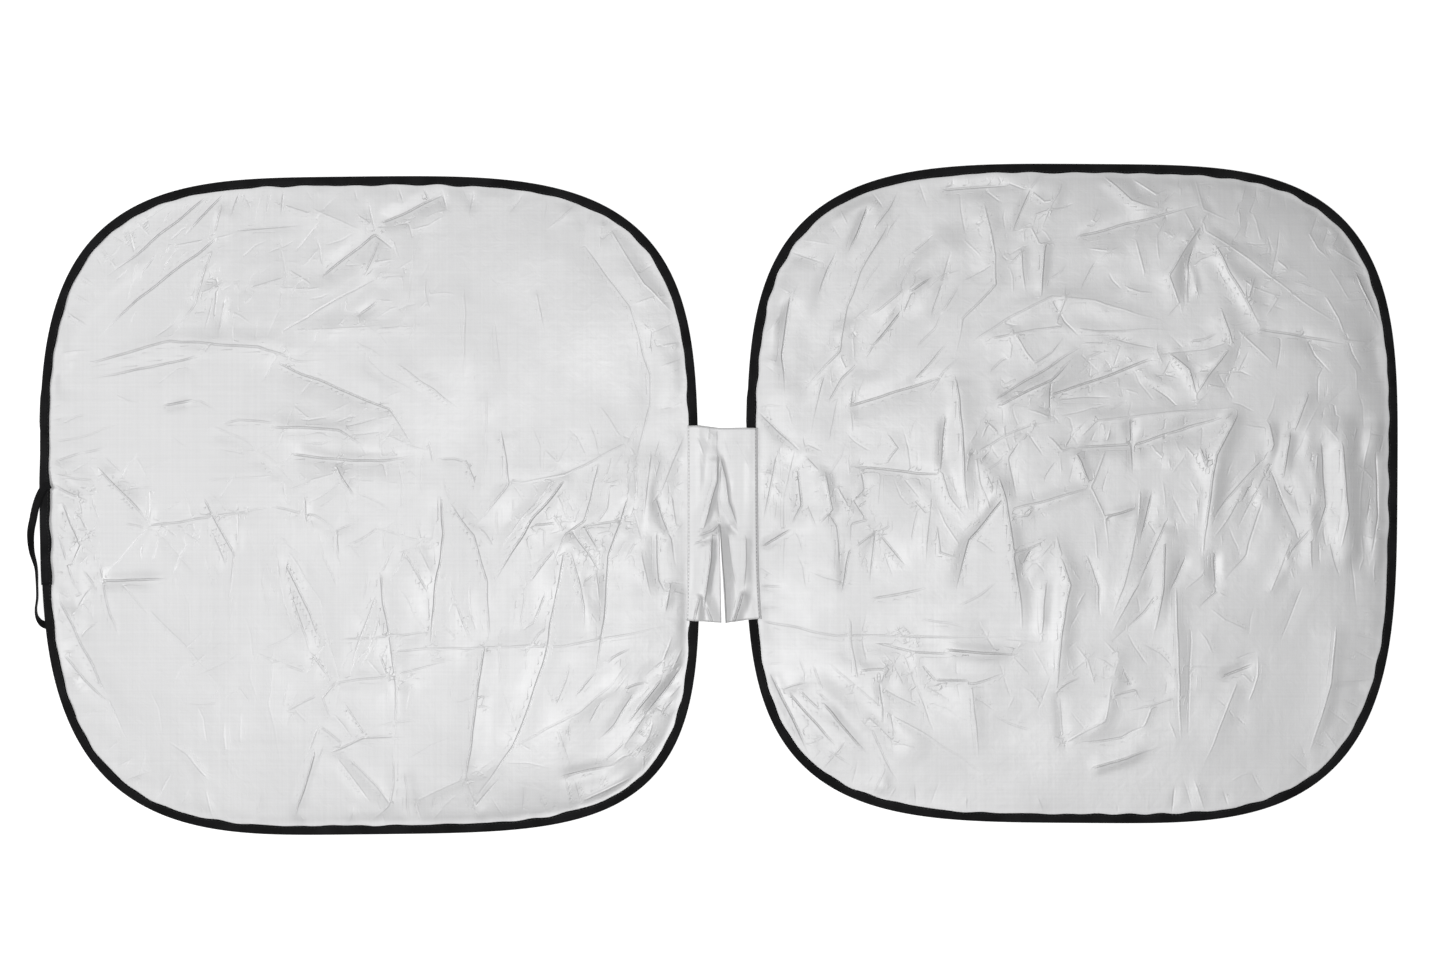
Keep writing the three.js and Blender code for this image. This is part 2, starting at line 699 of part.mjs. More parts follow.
// Gives a surface the cloth's thickness. Rim edges run with the surface's faces.
function doubledGeometry(surface, faces, rimEdges) {
  const lift = new THREE.Vector3(0, 0, clothThickness / 2);
  const count = surface.length;
  const corners = [
    ...surface.map((corner) => corner.clone().add(lift)),
    ...surface.map((corner) => corner.clone().sub(lift)),
  ];
  const all = [
    ...faces,
    ...faces.map(([a, b, c]) => [a + count, c + count, b + count]),
    ...rimEdges.flatMap(([a, b]) => [[b, a, a + count], [b, a + count, b + count]]),
  ];
  return solidGeometry(corners, all);
}

// Places along a line no further apart than a step, each with the direction across the line
function spacedAlong(line, step) {
  const places = [];
  for (let i = 0; i + 1 < line.length; i++) {
    const along = line[i + 1].clone().sub(line[i]);
    const parts = Math.ceil(along.length() / step);
    const side = new THREE.Vector2(-along.y, along.x).normalize();
    const last = i + 2 === line.length ? parts : parts - 1;
    for (let k = 0; k <= last; k++) {
      places.push({ place: line[i].clone().addScaledVector(along, k / parts), side });
    }
  }
  return places;
}

// Bridge: one ply of cloth over both bindings, sewn to each panel's hem and split from below by the slit
function bridgeGeometry(leftRim, rightRim) {
  const folds = bridgeFolds.map(({ rise, line }) => ({
    rise,
    line: line.map(([x, y]) => new THREE.Vector2(x, y)),
  }));
  const ply = clothThickness / 2;
  const overTape = (rim, along, inset, growth) => {
    const height = rimHeight(rim, along);
    if (inset > bindingWidth + 1) return height + ply + clearance + ply;
    if (inset > bindingWidth) return height + mouthHalf + tapeThickness + growth + clearance + 2 * ply;
    return height + tapeHalfHeight + growth + clearance + 2 * ply;
  };
  const insets = [bindingWidth + bridgeHem, bindingWidth + 1.5, bindingWidth + 0.25, wireInset + 1];
  const halfRow = (rim, isLeft, share, lip) => {
    const topY = isLeft ? bridgeTopLeftY : bridgeTopRightY;
    const bottomY = isLeft ? bridgeBottomLeftY : bridgeBottomRightY;
    const y = THREE.MathUtils.lerp(topY, bottomY, share);
    const along = rimAtHeight(rim, y, isLeft);
    const growth = isLeft ? 0 : lapGrowth;
    const row = [...insets, -growth - 1].map((inset) => {
      const { place } = rimPlace(rim, along, inset);
      return new THREE.Vector3(place.x, place.y, overTape(rim, along, inset, growth));
    });
    const last = row[row.length - 1];
    const middleY = THREE.MathUtils.lerp(bridgeTopMiddleY, bridgeBottomMiddleY, share);
    const rest = new THREE.Vector3(lip, middleY, bridgeRest);
    for (const part of [0.3, 0.62, 1]) {
      const point = last.clone().lerp(rest, part);
      point.z = THREE.MathUtils.lerp(last.z, bridgeRest, Math.sin((part * Math.PI) / 2));
      point.z += foldHeight(new THREE.Vector2(point.x, point.y), folds) * Math.min(1, part * 2);
      row.push(point);
    }
    return row;
  };
  const slitShare = (bridgeTopMiddleY - slitTopY) / (bridgeTopMiddleY - bridgeBottomMiddleY);
  const shares = [];
  const rowsAbove = Math.round(bridgeRows * slitShare);
  const rowsBelow = bridgeRows - rowsAbove;
  for (let k = 0; k < rowsAbove; k++) shares.push((slitShare * k) / rowsAbove);
  for (let k = 0; k <= rowsBelow; k++) shares.push(slitShare + ((1 - slitShare) * k) / rowsBelow);

  const surface = [];
  const leftRows = [];
  const rightRows = [];
  for (const [k, share] of shares.entries()) {
    const open = Math.max(0, (share - slitShare) / (1 - slitShare));
    const leftLip = open * slitBottomLeft;
    const rightLip = open * (slitBottomLeft + slitWidth);
    const left = halfRow(leftRim, true, share, leftLip);
    const right = halfRow(rightRim, false, share, rightLip);
    leftRows.push(left.map((corner) => surface.push(corner) - 1));
    const joined = k <= rowsAbove;
    if (joined) right.pop();
    const indices = right.map((corner) => surface.push(corner) - 1);
    rightRows.push(joined ? [...indices, leftRows[k][left.length - 1]] : indices);
  }
  const faces = [];
  const fill = (rows, isLeft) => {
    for (let k = 0; k + 1 < rows.length; k++) {
      for (let j = 0; j + 1 < rows[k].length; j++) {
        const a = rows[k][j];
        const b = rows[k + 1][j];
        const c = rows[k + 1][j + 1];
        const d = rows[k][j + 1];
        if (isLeft) faces.push([a, b, c], [a, c, d]);
        else faces.push([a, c, b], [a, d, c]);
      }
    }
  };
  fill(leftRows, true);
  fill(rightRows, false);
  return doubledGeometry(surface, faces, freeEdges(faces));
}

// Edges of a surface that only one face has
function freeEdges(faces) {
  const edges = new Map();
  for (const [a, b, c] of faces) {
    for (const [from, to] of [[a, b], [b, c], [c, a]]) {
      const back = `${to},${from}`;
      if (edges.has(back)) edges.delete(back);
      else edges.set(`${from},${to}`, [from, to]);
    }
  }
  return [...edges.values()];
}

// Closing loop: a flat elastic sewn over and under the lap, hanging in a loop beside the binding
function strapGeometry(rim) {
  const halfWidth = strapWidth / 2;
  const halfThickness = strapThickness / 2;
  const controls = strapRoute.map(({ out, y, roll, onTape = false, lift = 0 }) => {
    const along = rimAtHeight(rim, y, false);
    const { place } = rimPlace(rim, along, 0);
    const tapeTop = rimHeight(rim, along) + tapeHalfHeight + lapGrowth + clearance;
    const point = new THREE.Vector3(place.x - out, y, onTape ? tapeTop : lift);
    return { point, turn: THREE.MathUtils.degToRad(roll) };
  });
  const curve = new THREE.CatmullRomCurve3(controls.map(({ point }) => point), false, "centripetal");
  const corners = [[1, 1], [-1, 1], [-1, -1], [1, -1]];
  const sections = [];
  for (let k = 0; k <= strapSteps; k++) {
    const share = k / strapSteps;
    const at = share * (controls.length - 1);
    const low = Math.min(Math.floor(at), controls.length - 2);
    const turn = THREE.MathUtils.lerp(controls[low].turn, controls[low + 1].turn, at - low);
    const centre = curve.getPoint(share);
    centre.z = Math.max(0, centre.z) + halfWidth * Math.sin(turn) + halfThickness * Math.cos(turn);
    const along = curve.getTangent(share).setZ(0).normalize();
    const flat = new THREE.Vector3(along.y, -along.x, 0);
    const wide = new THREE.Vector3(0, 0, Math.sin(turn)).addScaledVector(flat, Math.cos(turn));
    const thick = wide.clone().cross(along);
    sections.push(corners.map(([w, t]) => {
      return centre.clone()
        .addScaledVector(wide, w * halfWidth)
        .addScaledVector(thick, t * halfThickness);
    }));
  }
  const outline = corners.map(([w, t]) => new THREE.Vector2(w, t));
  return sweptGeometry(sections, false, outline);
}

const silverCloth = new THREE.MeshStandardMaterial({ color: 0xd9dadc, roughness: 0.5, metalness: 0.4 });
const springSteel = new THREE.MeshStandardMaterial({ color: 0x8a8f96, roughness: 0.35, metalness: 0.9 });
const crimpSteel = new THREE.MeshStandardMaterial({ color: 0xa9adb3, roughness: 0.4, metalness: 0.9 });
const blackTape = new THREE.MeshStandardMaterial({ color: 0x141416, roughness: 0.85, metalness: 0 });
const blackElastic = new THREE.MeshStandardMaterial({ color: 0x0f0f11, roughness: 0.8, metalness: 0 });

const shade = new THREE.Group();

function addPiece(name, geometry, material) {
  const mesh = new THREE.Mesh(geometry, material);
  mesh.name = name;
  shade.add(mesh);
}

const leftRim = makeRim(leftPanel);
const rightRim = makeRim(rightPanel);
for (const [side, rim] of [["left", leftRim], ["right", rightRim]]) {
  const stations = rimStations(rim);
  addPiece(`${side}_panel_cloth`, clothGeometry(rim, stations), silverCloth);
  addPiece(`${side}_hoop_wire`, wireGeometry(rim, stations), springSteel);
  addPiece(`${side}_hoop_sleeve`, sleeveGeometry(rim), crimpSteel);
  addPiece(`${side}_binding`, bindingGeometry(rim, stations), blackTape);
}
addPiece("bridge_cloth", bridgeGeometry(leftRim, rightRim), silverCloth);
addPiece("closing_strap", strapGeometry(leftRim), blackElastic);

// The middle of the footprint becomes the origin.
const bounds = new THREE.Box3().setFromObject(shade);
const footprint = bounds.getCenter(new THREE.Vector3());
shade.position.set(-footprint.x, -footprint.y, -bounds.min.z);
shade.updateMatrixWorld(true);

export default shade;
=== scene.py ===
"""Folding windscreen shade: creased silver cloth on sprung hoops, sewn black tape, bridge and closing loop.

Sizes are in metres. The shade lies flat with its silver front up and its top edge towards +Y.
"""

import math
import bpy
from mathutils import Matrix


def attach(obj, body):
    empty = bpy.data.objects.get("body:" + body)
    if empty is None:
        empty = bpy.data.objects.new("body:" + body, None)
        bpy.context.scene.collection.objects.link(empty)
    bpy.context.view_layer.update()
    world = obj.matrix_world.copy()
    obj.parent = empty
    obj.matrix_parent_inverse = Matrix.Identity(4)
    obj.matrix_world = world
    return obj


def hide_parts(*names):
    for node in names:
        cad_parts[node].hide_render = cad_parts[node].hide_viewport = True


bl_info = {
    "name": "Folding windscreen shade",
    "version": (1, 0, 0),
    "blender": (4, 5, 0),
    "location": "View3D > Sidebar > Windscreen shade",
    "description": "Sews the cloth, tape, bridge and closing loop of a folding windscreen shade on its hoops",
    "category": "Object",
}

from dataclasses import dataclass

import bpy
import numpy as np
from bpy.props import FloatProperty, FloatVectorProperty, IntProperty, PointerProperty
from mathutils import Vector

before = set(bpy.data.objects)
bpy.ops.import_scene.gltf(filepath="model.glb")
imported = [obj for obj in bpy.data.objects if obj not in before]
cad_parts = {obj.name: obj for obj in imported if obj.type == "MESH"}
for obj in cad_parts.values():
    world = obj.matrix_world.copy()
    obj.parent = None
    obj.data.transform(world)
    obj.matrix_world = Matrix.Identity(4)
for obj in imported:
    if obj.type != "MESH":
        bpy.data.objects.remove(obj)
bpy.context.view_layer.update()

MM = 0.001
BODY = "root"

# The shade's own origin, where the bridge's centre line meets the photograph's middle height
ORIGIN_X = 7.1 * MM
ORIGIN_Y = 1.4 * MM

# What the camera looks down on, and the floor
VIEW_MIDDLE = (2.7 * MM + ORIGIN_X, 17.1 * MM + ORIGIN_Y)
SENSOR_WIDTH = 36
FLOOR_HALF = 14.0
FLOOR_UNDER = 0.2 * MM
WHITE = (1.0, 1.0, 1.0, 1.0)

# Hoop and tape, the same sizes as the solids have
CLEARANCE = 0.3 * MM
WIRE_RADIUS = 0.8 * MM
TAPE_WIDTH = 9.8 * MM
TAPE_THICKNESS = 0.7 * MM
TAPE_LAP = 109 * MM
TAPE_START_Y = 16 * MM
TAPE_RAMP = 27 * MM
TAPE_RAMP_CLEAR = 3 * MM
TAPE_NOSE_HALF = 0.35 * MM
SLEEVE_WALL = 0.5 * MM
SLEEVE_LENGTH = 28 * MM
SLEEVE_FROM_TAPE_START = 78 * MM
SLEEVE_TAPER = 8 * MM
CLOTH_THICKNESS = 0.4 * MM
STRAP_THICKNESS = 0.9 * MM
HEM_WIDTH = 4.5 * MM
RIM_SINKS_OVER = 110 * MM
RIM_LEVEL_BEFORE_SLEEVE = 10 * MM
RIM_LEVEL_AFTER_LAP = 55 * MM

CAVITY_HALF = WIRE_RADIUS + CLEARANCE + 0.05 * MM
SLEEVE_CAVITY_HALF = WIRE_RADIUS + CLEARANCE + SLEEVE_WALL + CLEARANCE + 0.1 * MM
WIRE_INSET = TAPE_THICKNESS + CAVITY_HALF
TAPE_HALF_HEIGHT = CAVITY_HALF + TAPE_THICKNESS
MOUTH_HALF = CLOTH_THICKNESS / 2 + CLEARANCE
LAP_GROWTH = TAPE_THICKNESS + CLEARANCE
CLOTH_EDGE_INSET = WIRE_INSET + WIRE_RADIUS + CLEARANCE + 1 * MM

# Section of the folded tape, and how its second layer and its puckers sit
TAPE_ROOT_INSET = WIRE_INSET + 0.55 * CAVITY_HALF
TAPE_FOLD_INSET = WIRE_INSET - 0.6 * CAVITY_HALF
TAPE_BULGE = 0.2 * MM
TAPE_LAP_SPREAD = 0.25
TAPE_NOSE_GROWTH = 0.1
TAPE_NOSE_WALL = 0.05 * MM
TAPE_LAP_SHOWS = 0.9
TAPE_PUCKER_LIFT = 0.8
SEAM_FROM_LIP = 1.7 * MM
SEAM_STEP = 6 * MM

# Bridge, in the shade's own frame
BRIDGE_TOP_LEFT = 77.6 * MM
BRIDGE_TOP_RIGHT = 75 * MM
BRIDGE_TOP_MIDDLE = 74.9 * MM
BRIDGE_BOTTOM_LEFT = -131.6 * MM
BRIDGE_BOTTOM_RIGHT = -130 * MM
BRIDGE_BOTTOM_MIDDLE = -133.5 * MM
BRIDGE_TOP = BRIDGE_TOP_LEFT + ORIGIN_Y
BRIDGE_BOTTOM = BRIDGE_BOTTOM_LEFT + ORIGIN_Y
BRIDGE_TAPE_COLUMNS = 8
BRIDGE_FREE_COLUMNS = 14
BRIDGE_SMALL_CREASES = 14
SLIT_TOP = -26.8 * MM
SLIT_SHARE = (BRIDGE_TOP_MIDDLE - SLIT_TOP) / (BRIDGE_TOP_MIDDLE - BRIDGE_BOTTOM_MIDDLE)

# Bridge's way over the tape: its turned-down edge, its gap over the puckers, and where it leaves the rim
BRIDGE_EDGE_HEIGHT = 0.8 * MM
BRIDGE_EDGE_STEP = 0.5 * MM
BRIDGE_EDGE_TURN = 0.9 * MM
BRIDGE_EDGE_SAG = 0.1 * MM
BRIDGE_EDGE_OVER_LAP = 0.8
BRIDGE_OVER_PUCKERS = 0.3 * MM
BRIDGE_LIP_CLEAR = 1.4 * MM
BRIDGE_WIRE_CLEAR = 1 * MM
BRIDGE_PAST_RIM = 1 * MM
BRIDGE_HELD_RISE = 0.7
BRIDGE_SINKS_WITHIN = 0.35
BRIDGE_SEAM_SHARE = 0.2

# Where the bridge holds a panel and its tape flat, and how far that fades
BRIDGE_HOLDS_PAST = 5 * MM
BRIDGE_HOLD_FADE = 14 * MM
BRIDGE_HOLD_INSET = 14 * MM
BRIDGE_HOLD_END = 20 * MM
BRIDGE_CALMS_TAPE = 12 * MM

# Cloth: the crisp crests, the wander of the crease lines, and soft waves as rise and size in millimetres
CREST_REACH = 6 * MM
CREST_CLAIM = 1.6 * CREST_REACH
CREST_CLAIM_FADE = 0.3
CREST_ALIKE_COSINE = 0.75
CREASE_ROUNDING = 0.9 * MM
CREASE_WANDER = 1.1 * MM
CREASE_WANDER_SIZE = 22 * MM
CLOTH_WAVES = [(0.9, 150), (0.5, 62), (0.16, 24)]
SLOPE_NARROWNESS = 4
RIM_FLATTENS_OVER = 13 * MM
RIM_GATHERS = 210
LEAST_HEIGHT = 0.5 * MM

# Seeds of everything random
PANEL_SEEDS = {"left": 11, "right": 23}
BRIDGE_SEEDS = {"left": 31, "right": 37}
TAPE_SEEDS = {"left": 5, "right": 7}

RIM_POINTS = 2880
RIM_WINDOW = 14
RIM_HALVINGS = 50


@dataclass
class Hoop:
    """Outline of one panel at the outer edge of its tape: four reaches and four corner roundnesses."""

    side: str
    reach_right: float
    reach_left: float
    reach_top: float
    reach_bottom: float
    round_top_right: float
    round_top_left: float
    round_bottom_left: float
    round_bottom_right: float
    tilt: float
    middle_x: float
    middle_y: float
    lap_lift: float

    def powers(self, across, up):
        """Roundness of the corner that each direction points to."""
        right = np.where(up > 0, self.round_top_right, self.round_bottom_right)
        left = np.where(up > 0, self.round_top_left, self.round_bottom_left)
        return np.where(across > 0, right, left)

    def reaches(self, across, up):
        """Reach towards each direction, across and up."""
        return (
            np.where(across > 0, self.reach_right, self.reach_left),
            np.where(up > 0, self.reach_top, self.reach_bottom),
        )

    def radius(self, angle):
        """Distance from the middle to the outline, at an angle before the tilt."""
        cosine, sine = np.cos(angle), np.sin(angle)
        across, up = self.reaches(cosine, sine)
        power = self.powers(cosine, sine)
        total = np.abs(cosine / across) ** power + np.abs(sine / up) ** power
        return total ** (-1 / power)

    def slant(self, angle):
        """Cosine of the angle between the outline's normal and the ray from the middle."""
        radius = self.radius(angle)
        x, y = radius * np.cos(angle), radius * np.sin(angle)
        across, up = self.reaches(x, y)
        power = self.powers(x, y)
        normal_x = np.sign(x) * np.abs(x / across) ** (power - 1) / across
        normal_y = np.sign(y) * np.abs(y / up) ** (power - 1) / up
        size = np.hypot(normal_x, normal_y)
        return (normal_x * np.cos(angle) + normal_y * np.sin(angle)) / size

    def turned(self, radius, angle):
        """Places at a radius and an angle before the tilt."""
        turned = angle + self.tilt
        return self.middle_x + radius * np.cos(turned), self.middle_y + radius * np.sin(turned)

    def places(self, line):
        """Points in metres, from points in millimetres from the panel's middle."""
        return [(self.middle_x + x * MM, self.middle_y + y * MM) for x, y in line]

    @property
    def facing(self):
        """Side of the hoop that the bridge is sewn to: 1 is the right one and -1 the left one."""
        return 1 if self.side == "left" else -1


class Rim:
    """A hoop's outline measured by length, counter-clockwise from where its tape starts."""

    def __init__(self, hoop):
        self.hoop = hoop
        above, below = math.pi / 2, 1.5 * math.pi
        for _ in range(RIM_HALVINGS):
            middle = (above + below) / 2
            if hoop.turned(hoop.radius(middle), middle)[1] > TAPE_START_Y + ORIGIN_Y:
                above = middle
            else:
                below = middle
        angles = above + 2 * math.pi * np.arange(RIM_POINTS) / RIM_POINTS
        self.angles = angles
        self.x, self.y = hoop.turned(hoop.radius(angles), angles)
        steps = np.hypot(np.roll(self.x, -1) - self.x, np.roll(self.y, -1) - self.y)
        self.length = float(steps.sum())
        self.lengths = np.cumsum(steps) - steps
        along_x = np.roll(self.x, -RIM_WINDOW) - np.roll(self.x, RIM_WINDOW)
        along_y = np.roll(self.y, -RIM_WINDOW) - np.roll(self.y, RIM_WINDOW)
        size = np.hypot(along_x, along_y)
        self.in_x, self.in_y = -along_y / size, along_x / size

    def at(self, values, along):
        """Values of the rim's points, at lengths along it."""
        return np.interp(along, self.lengths, values, period=self.length)

    def place(self, along, inset):
        """Places at lengths along the rim, a distance inwards of the outer edge."""
        in_x, in_y = self.at(self.in_x, along), self.at(self.in_y, along)
        return self.at(self.x, along) + in_x * inset, self.at(self.y, along) + in_y * inset

    def height(self, along):
        """Height of the wire's middle. The rim rises a little where the tape laps over itself."""
        wrapped = np.mod(along, self.length)
        distance = np.where(wrapped > self.length / 2, wrapped - self.length, wrapped)
        before = SLEEVE_FROM_TAPE_START + SLEEVE_LENGTH / 2 + RIM_LEVEL_BEFORE_SLEEVE
        after = TAPE_LAP + RIM_LEVEL_AFTER_LAP
        rise = smooth_step(-before - RIM_SINKS_OVER, -before, distance)
        fall = 1 - smooth_step(after, after + RIM_SINKS_OVER, distance)
        return TAPE_HALF_HEIGHT + self.hoop.lap_lift * np.minimum(rise, fall)

    def along_at_angle(self, angle):
        """Length along the rim that an angle before the tilt points to."""
        turned = np.mod(angle - self.angles[0], 2 * math.pi)
        return np.interp(turned, self.angles - self.angles[0], self.lengths)

    def along_at_height(self, y, right_side):
        """Length along the rim at which one side of it crosses a height."""
        on_side = (self.x > self.hoop.middle_x) == right_side
        found = np.where(on_side, np.abs(self.y - y), np.inf)
        nearest = int(np.argmin(found))
        other = (nearest + 1) % RIM_POINTS
        if (self.y[other] - y) * (self.y[nearest] - y) > 0:
            other = (nearest - 1) % RIM_POINTS
        share = (y - self.y[nearest]) / (self.y[other] - self.y[nearest])
        step = self.lengths[other] - self.lengths[nearest]
        step -= self.length * round(step / self.length)
        return float((self.lengths[nearest] + share * step) % self.length)


def smooth_step(start, end, value):
    """0 before the start and 1 past the end, with an even ease between."""
    share = np.clip((value - start) / (end - start), 0, 1)
    return share * share * (3 - 2 * share)


LEFT_HOOP = Hoop(
    side="left",
    reach_right=377.9 * MM, reach_left=325.6 * MM, reach_top=341.3 * MM, reach_bottom=362.4 * MM,
    round_top_right=3.75, round_top_left=3.45, round_bottom_left=3.31, round_bottom_right=4.29,
    tilt=math.radians(0.62),
    middle_x=-(22.2 + 377.9) * MM + ORIGIN_X,
    middle_y=2.4 * MM + ORIGIN_Y,
    lap_lift=LAP_GROWTH + CLEARANCE + STRAP_THICKNESS,
)
RIGHT_HOOP = Hoop(
    side="right",
    reach_right=324.4 * MM, reach_left=372.0 * MM, reach_top=339.0 * MM, reach_bottom=365.9 * MM,
    round_top_right=3.57, round_top_left=3.66, round_bottom_left=3.84, round_bottom_right=3.41,
    tilt=math.radians(-0.37),
    middle_x=(28.7 + 372.0) * MM + ORIGIN_X,
    middle_y=18.2 * MM + ORIGIN_Y,
    lap_lift=LAP_GROWTH,
)
LEFT_RIM = Rim(LEFT_HOOP)
RIGHT_RIM = Rim(RIGHT_HOOP)

# Long creases: rise (a furrow is negative), then points, in millimetres from the panel's middle. The points
# were picked in the photograph. A separate script turned them into millimetres and set each rise, by how much
# brighter the photograph is on one side of the line than on the other.
LEFT_CREASES = [
    (-3.2, (-140, 274), (-223, 209), (-263, 170)),
    (2.4, (-132, 309), (-145, 258), (-161, 204), (-188, 167)), (-3.2, (-127, 325), (-172, 279)),
    (-3.2, (-172, 325), (-212, 295)), (-3.2, (-148, 320), (-218, 263), (-252, 236)),
    (0.8, (-218, 263), (-234, 204), (-252, 181)),
    (2.4, (-271, 143), (-188, 166), (-129, 161), (-92, 159), (-54, 145), (-25, 143)),
    (-2.4, (-161, 148), (-234, 133), (-273, 126)), (-2.4, (-113, 325), (-122, 300)),
    (0.8, (-89, 327), (-97, 293)), (-1.8, (-65, 329), (-70, 300)),
    (-0.8, (-140, 74), (-108, 60), (-81, 41), (-43, 1)), (2.4, (-76, 74), (-6, 70), (21, 52)),
    (-2.4, (-54, 44), (10, 37), (42, 37), (74, 44)), (2.4, (-11, 33), (10, -1)),
    (-3.2, (-191, 97), (-161, 102)), (-2.4, (-70, 140), (10, 108), (48, 92), (74, 52)),
    (-0.8, (23, 161), (26, 145), (42, 129), (85, 108)), (1.2, (58, 138), (96, 113), (122, 92)),
    (-1.2, (-65, 177), (-11, 209), (37, 234), (64, 236)), (0.8, (-36, 177), (42, 181)),
    (-3.2, (-22, 236), (10, 263), (31, 279), (53, 263)), (2.4, (21, 236), (37, 274)),
    (0.8, (-33, 306), (15, 284)), (-3.2, (42, 293), (109, 325)), (-2.4, (85, 327), (92, 311)),
    (-1.2, (138, 327), (133, 300)), (0.8, (64, 188), (74, 258), (90, 300)),
    (-0.8, (-70, 277), (-63, 236), (-70, 204), (-86, 161)), (-1.8, (-129, 209), (-134, 172)),
    (-2.4, (15, 193), (37, 209)), (1.2, (128, 215), (128, 124)), (-0.8, (162, 183), (167, 129)),
    (1.2, (205, 215), (213, 177)), (0.8, (151, 108), (151, 44), (144, -5)),
    (2.4, (167, 65), (176, 12), (141, -31)), (2.4, (128, 38), (149, -5)),
    (-1.2, (256, 268), (304, 204), (326, 129), (326, 97), (301, 1)),
    (1.2, (283, 284), (320, 226), (358, 188)), (0.8, (274, 92), (296, 60)),
    (1.2, (296, 54), (235, 22), (181, 12)), (3.2, (240, 22), (203, -21), (160, -90)),
    (-2.4, (272, 33), (256, -26), (235, -42), (224, -69)), (0.8, (229, -28), (256, -28), (272, -10)),
    (-2.4, (235, -53), (224, -117), (213, -176), (197, -224), (181, -267), (138, -326)),
    (2.4, (240, -58), (256, -117), (256, -149)), (-0.8, (194, -90), (187, -149)),
    (-2.4, (256, -31), (272, -58)), (-2.4, (301, -5), (283, -63), (278, -128), (267, -197)),
    (-1.2, (304, -5), (317, -47)), (2.4, (326, 44), (317, -31)), (-2.4, (333, -5), (347, -42)),
    (-2.4, (333, -42), (336, -90), (344, -106)), (1.2, (317, -63), (326, -106)),
    (3.2, (347, -95), (342, -122)), (1.2, (42, -165), (149, -162), (235, -160), (363, -135)),
    (-1.2, (-1, -154), (106, -144)), (3.2, (149, -160), (141, -224), (130, -299), (138, -326)),
    (0.8, (171, -277), (181, -267), (251, -231), (283, -202), (304, -176)),
    (0.8, (74, -326), (122, -304), (165, -277)), (-2.4, (235, -299), (283, -288)),
    (3.2, (336, -197), (304, -240)), (-3.2, (358, -186), (320, -235)), (2.4, (256, -326), (310, -299)),
    (0.8, (229, -251), (240, -288)), (1.2, (-76, -47), (-70, -95), (-54, -149)),
    (-0.8, (-59, -63), (-27, -112), (-17, -160), (-6, -197), (-11, -235)),
    (-1.2, (-11, -199), (42, -194), (112, -176)),
    (-2.4, (39, -85), (42, -117), (50, -170), (55, -202), (53, -267)),
    (-1.8, (42, -90), (21, -138), (10, -170), (5, -197)), (0.8, (53, -128), (64, -170)),
    (1.8, (-11, -272), (21, -258), (64, -256)), (-0.8, (-11, -235), (10, -261), (31, -269)),
    (1.8, (58, -202), (101, -170), (149, -162)), (0.8, (-76, -160), (-81, -224), (-70, -277)),
    (3.2, (-33, -277), (-54, -347)), (-1.2, (-6, -283), (26, -326)), (-1.2, (64, -299), (69, -352)),
    (-3.2, (103, -5), (106, -42), (96, -106), (92, -170)),
    (2.4, (114, -10), (138, -42), (151, -90), (155, -160)), (0.8, (31, -33), (74, -47), (103, -44)),
    (0.8, (74, -47), (96, -90)), (1.8, (-9, -37), (-6, -69)), (-1.2, (-9, -37), (10, -28)),
    (-1.2, (-76, -12), (-33, -21), (-9, -37)), (2.4, (-263, 28), (-209, -28)),
    (1.2, (-209, 6), (-208, -28)), (-1.8, (-207, -31), (-145, -23), (-76, -12)),
    (0.8, (-207, -31), (-257, -85)), (-0.8, (-202, -37), (-159, -85)), (3.2, (-261, -90), (-191, -90)),
    (1.2, (-241, -90), (-209, -128)), (-2.4, (-263, -74), (-252, -128), (-241, -151)),
    (-2.4, (-150, -5), (-118, -63), (-124, -112)), (0.8, (-145, 17), (-73, 22)),
    (2.4, (-43, -5), (-41, -31)), (1.2, (-311, 22), (-273, 17), (-257, -10)),
    (-2.4, (-300, -10), (-284, -53), (-300, -90)), (-1.2, (-306, -31), (-268, -63)),
    (-1.8, (-300, -170), (-279, -197), (-252, -224)), (-1.8, (-308, 38), (-279, 47)),
    (-2.4, (-306, -112), (-284, -154), (-236, -256)), (-0.8, (7, -53), (18, -69)),
    (-1.8, (-113, 284), (-49, 290)), (-1.2, (26, 311), (33, 274)), (-0.8, (315, 81), (288, 28)),
    (1.2, (363, 65), (344, 22), (331, -10)),
]
